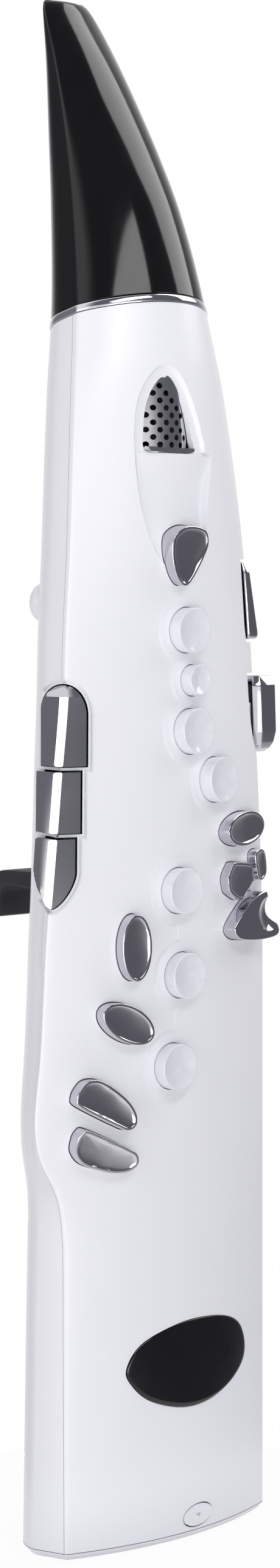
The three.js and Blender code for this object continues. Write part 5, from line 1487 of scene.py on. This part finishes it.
cut(beak, prism(beak_bore, BEAK_BORE_LOW, NECK_TOP + JOINT, ring_matrix))
reed_low = REED_TOP - REED_LENGTH
low_y, high_y = back(reed_low) - REED_SEAT, back(REED_TOP) - REED_SEAT
reed_room = side_on([
    (low_y - JOINT, reed_low - JOINT), (FAR, reed_low - JOINT), (FAR, REED_TOP + JOINT),
    (high_y - JOINT, REED_TOP + JOINT),
], -REED_HALF - JOINT, REED_HALF + JOINT)
cut(beak, reed_room)
slot_y, tip_y = [(face_depth(0, z) + back(z)) / 2 for z in (SLOT_LOW, HEIGHT)]
breath_slot = side_on([
    (slot_y - SLOT_HALF, SLOT_LOW), (slot_y + SLOT_HALF, SLOT_LOW),
    (tip_y + SLOT_HALF, HEIGHT + 1), (tip_y - SLOT_HALF, HEIGHT + 1),
], -SLOT_HALF_WIDTH, SLOT_HALF_WIDTH)
cut(beak, breath_slot)
finish(beak, "mouthpiece_beak", "mouthpiece", ["mouthpiece"], ebonite)
reed_rings = []
for share, thickness in REED_THICKNESS:
    z, near = reed_low + (REED_TOP - reed_low) * share, low_y + (high_y - low_y) * share
    far = near + thickness
    corners = ((-REED_HALF, near), (REED_HALF, near), (REED_HALF, far), (-REED_HALF, far))
    reed_rings.append([Vector((*corner, z)) for corner in corners])
reed_form = skin(reed_rings)
bmesh.ops.bevel(
    reed_form, geom=reed_form.edges[:], offset=REED_SOFT, segments=2, profile=0.5, affect="EDGES",
    material=-1,
)
# Fibre resin, pressed and milled: dark fibres of 0.4 mm that run up the reed, drawn coarser than
# the real ones so that they show.
reed_material = surface(
    "fibre resin, pressed and milled", ("#121214", "#242428"), 2, (0.3, 0.5), 0.4, 0.02, (1, 1, 25))
finish(solid(reed_form, "reed"), "reed_blade", "mouthpiece", ["reed"], reed_material)


# The thumb hook and rest: moulded black rubber, fixed to the back of the rear shell, where the
# thumbs bear the weight.
HOOK_SHARES = [
    (-0.3, 0), (0.086, 0), (0.086, 0.417), (0.743, 0.429), (0.829, 0.343), (0.814, 0.086),
    (0.871, 0.043), (0.971, 0.086), (1, 0.343), (0.957, 0.529), (0.829, 0.617), (0.171, 0.617),
    (0.086, 0.686), (0.086, 1), (-0.3, 1),
]
HOOK_SIZE = 35
HOOK_LOW = 239.97
HOOK_CUTS = 3
HOOK_SPAN = (225, 290)
HOOK_ENDS = ((1.2, -26), (0.35, -25.65), (0, -24.8), (0, -9.2), (0.35, -8.35), (1.2, -8))
PAD_SOFT = 0.5
PAD_LAYERS = ((0, 1), (0.3, 0.3), (1, 0))
PAD_FRONT, PAD_BACK = -22, -80
REST_LENGTH, REST_WIDTH, REST_THICKNESS = 20, 24, 2.6
REST_X, REST_Z = -12, 337.98
hook_outline = [Vector(share) for share in HOOK_SHARES]
for _ in range(HOOK_CUTS):
    pairs = zip(hook_outline, hook_outline[1:] + hook_outline[:1])
    hook_outline = [a.lerp(b, share) for a, b in pairs for share in (0.25, 0.75)]
hook_outline = [Vector((BACK_DEPTH, HOOK_LOW)) + p * HOOK_SIZE for p in hook_outline]
hook_form = skin(
    [[Vector((*p, x)) for p in grow(hook_outline, -inset)] for inset, x in HOOK_ENDS],
    Matrix(((0, 0, 1, 0), (1, 0, 0, 0), (0, 1, 0, 0), (0, 0, 0, 1))),
)
hook = solid(hook_form, "hook")
cut(hook, body_block(*HOOK_SPAN, JOINT))
finish(hook, "thumb_hook_moulding", "case", ["thumb_hook"], rubber)


def back_pad(length, width, thickness, x, z):
    """A pad that hugs the back, with a rounded rim."""
    whole = None
    for inward, down in PAD_LAYERS:
        inset, growth = PAD_SOFT * inward, thickness - PAD_SOFT * down
        layer = body_block(z - width, z + width, JOINT + growth)
        zone = [p + Vector((x, z)) for p in ellipse(length - 2 * inset, width - 2 * inset)]
        clip(layer, prism(zone, PAD_BACK, PAD_FRONT, front_on()))
        whole = join(whole, layer) if whole else layer
    return cut(whole, body_block(z - width - 1, z + width + 1, JOINT))


rest = back_pad(REST_LENGTH, REST_WIDTH, REST_THICKNESS, REST_X, REST_Z)
finish(rest, "thumb_rest_pad", "case", ["thumb_rest"], rubber)


# The strap ring: an eye of bent steel wire on an oval pressed base, for a neck strap. The base is
# fixed to the back of the rear shell.
STRAP_Z = 308
STRAP_PROUD = 5.8
STRAP_HALF = 9.3
STRAP_WIRE = 1.7
WIRE_SIDES = 16
STRAP_BASE = (12, 26, 2)
STRAP_SPAN = (290, 326)
ring_form = bmesh.new()
bmesh.ops.create_circle(
    ring_form, segments=WIRE_SIDES, radius=STRAP_WIRE,
    matrix=Matrix.Translation((0, STRAP_HALF, 0)),
)
bmesh.ops.spin(
    ring_form, geom=ring_form.verts[:] + ring_form.edges[:], axis=(1, 0, 0), cent=(0, 0, 0),
    angle=2 * math.pi, steps=ROUND_STEPS, use_merge=True, use_duplicate=False,
)
bmesh.ops.remove_doubles(ring_form, verts=ring_form.verts, dist=WELD)
for vert in ring_form.verts:
    vert.co.y -= (STRAP_HALF - STRAP_PROUD) * vert.co.y / math.hypot(vert.co.y, vert.co.z)
bmesh.ops.recalc_face_normals(ring_form, faces=ring_form.faces)
ring_form.transform(Matrix.Translation((0, BACK_DEPTH + STRAP_PROUD, STRAP_Z)))
strap = solid(ring_form, "strap")
cut(strap, body_block(*STRAP_SPAN, JOINT))
join(strap, back_pad(*STRAP_BASE, 0, STRAP_Z))
finish(strap, "strap_ring_eye", "case", ["strap_ring"], steel)


# Inside the case: the boards of green glass fibre, the silicone contact sheets, the speaker, the
# sensor, the battery pack and the sockets, and the palm touches' black liner. They are the CAD's
# own solids, which take the finishes of the real ones here.
# Glass fibre, laminated and lacquered green: copper tracks show as paler lines of 0.8 mm in cells
# of 5 mm. Silicone, moulded: milky grey, matt, with a dusty drift of 7 mm.
TRACK_CELL = 5
TRACK_SHARE = 0.08
board = surface(
    "glass fibre board, laminated and lacquered", ("#1B5236", "#236443"), 10, (0.3, 0.45), 1, 0.02)
board_tree = board.node_tree
board_place = add_node(board_tree, "ShaderNodeTexCoord").outputs["Object"]
cells = add_node(
    board_tree, "ShaderNodeTexVoronoi",
    {"Vector": board_place, "Scale": 1 / (TRACK_CELL * MM)},
    feature="DISTANCE_TO_EDGE", distance="CHEBYCHEV",
)
tracks = add_node(
    board_tree, "ShaderNodeMath", {0: cells.outputs["Distance"], 1: TRACK_SHARE},
    operation="LESS_THAN",
)
tracked = add_node(
    board_tree, "ShaderNodeMix",
    {"Factor": tracks.outputs["Value"], "A": board_tree.nodes["Mix"].outputs["Result"],
     "B": linear("#3C8A5C")},
    data_type="RGBA",
)
board_shader = board_tree.nodes["Principled BSDF"]
board_tree.links.new(tracked.outputs["Result"], board_shader.inputs["Base Color"])
silicone = surface(
    "silicone, moulded", ("#949AA0", "#A6ABB0"), 7, (0.45, 0.6), 1, 0.02)
INSIDE = {
    "main_board": board, "upper_board": board, "side_switch_board": board,
    "contact_sheet_lower": silicone, "contact_sheet_upper": silicone, "breath_tube": silicone,
    "speaker_driver": black_abs, "pressure_sensor": black_abs, "battery_pack": black_abs,
    "palm_frame": black_abs, "line_out_socket": black_abs, "headphone_socket": black_abs,
    "usb_socket": steel,
}
for name, material in INSIDE.items():
    cad[name].data.materials.clear()
    cad[name].data.materials.append(material)
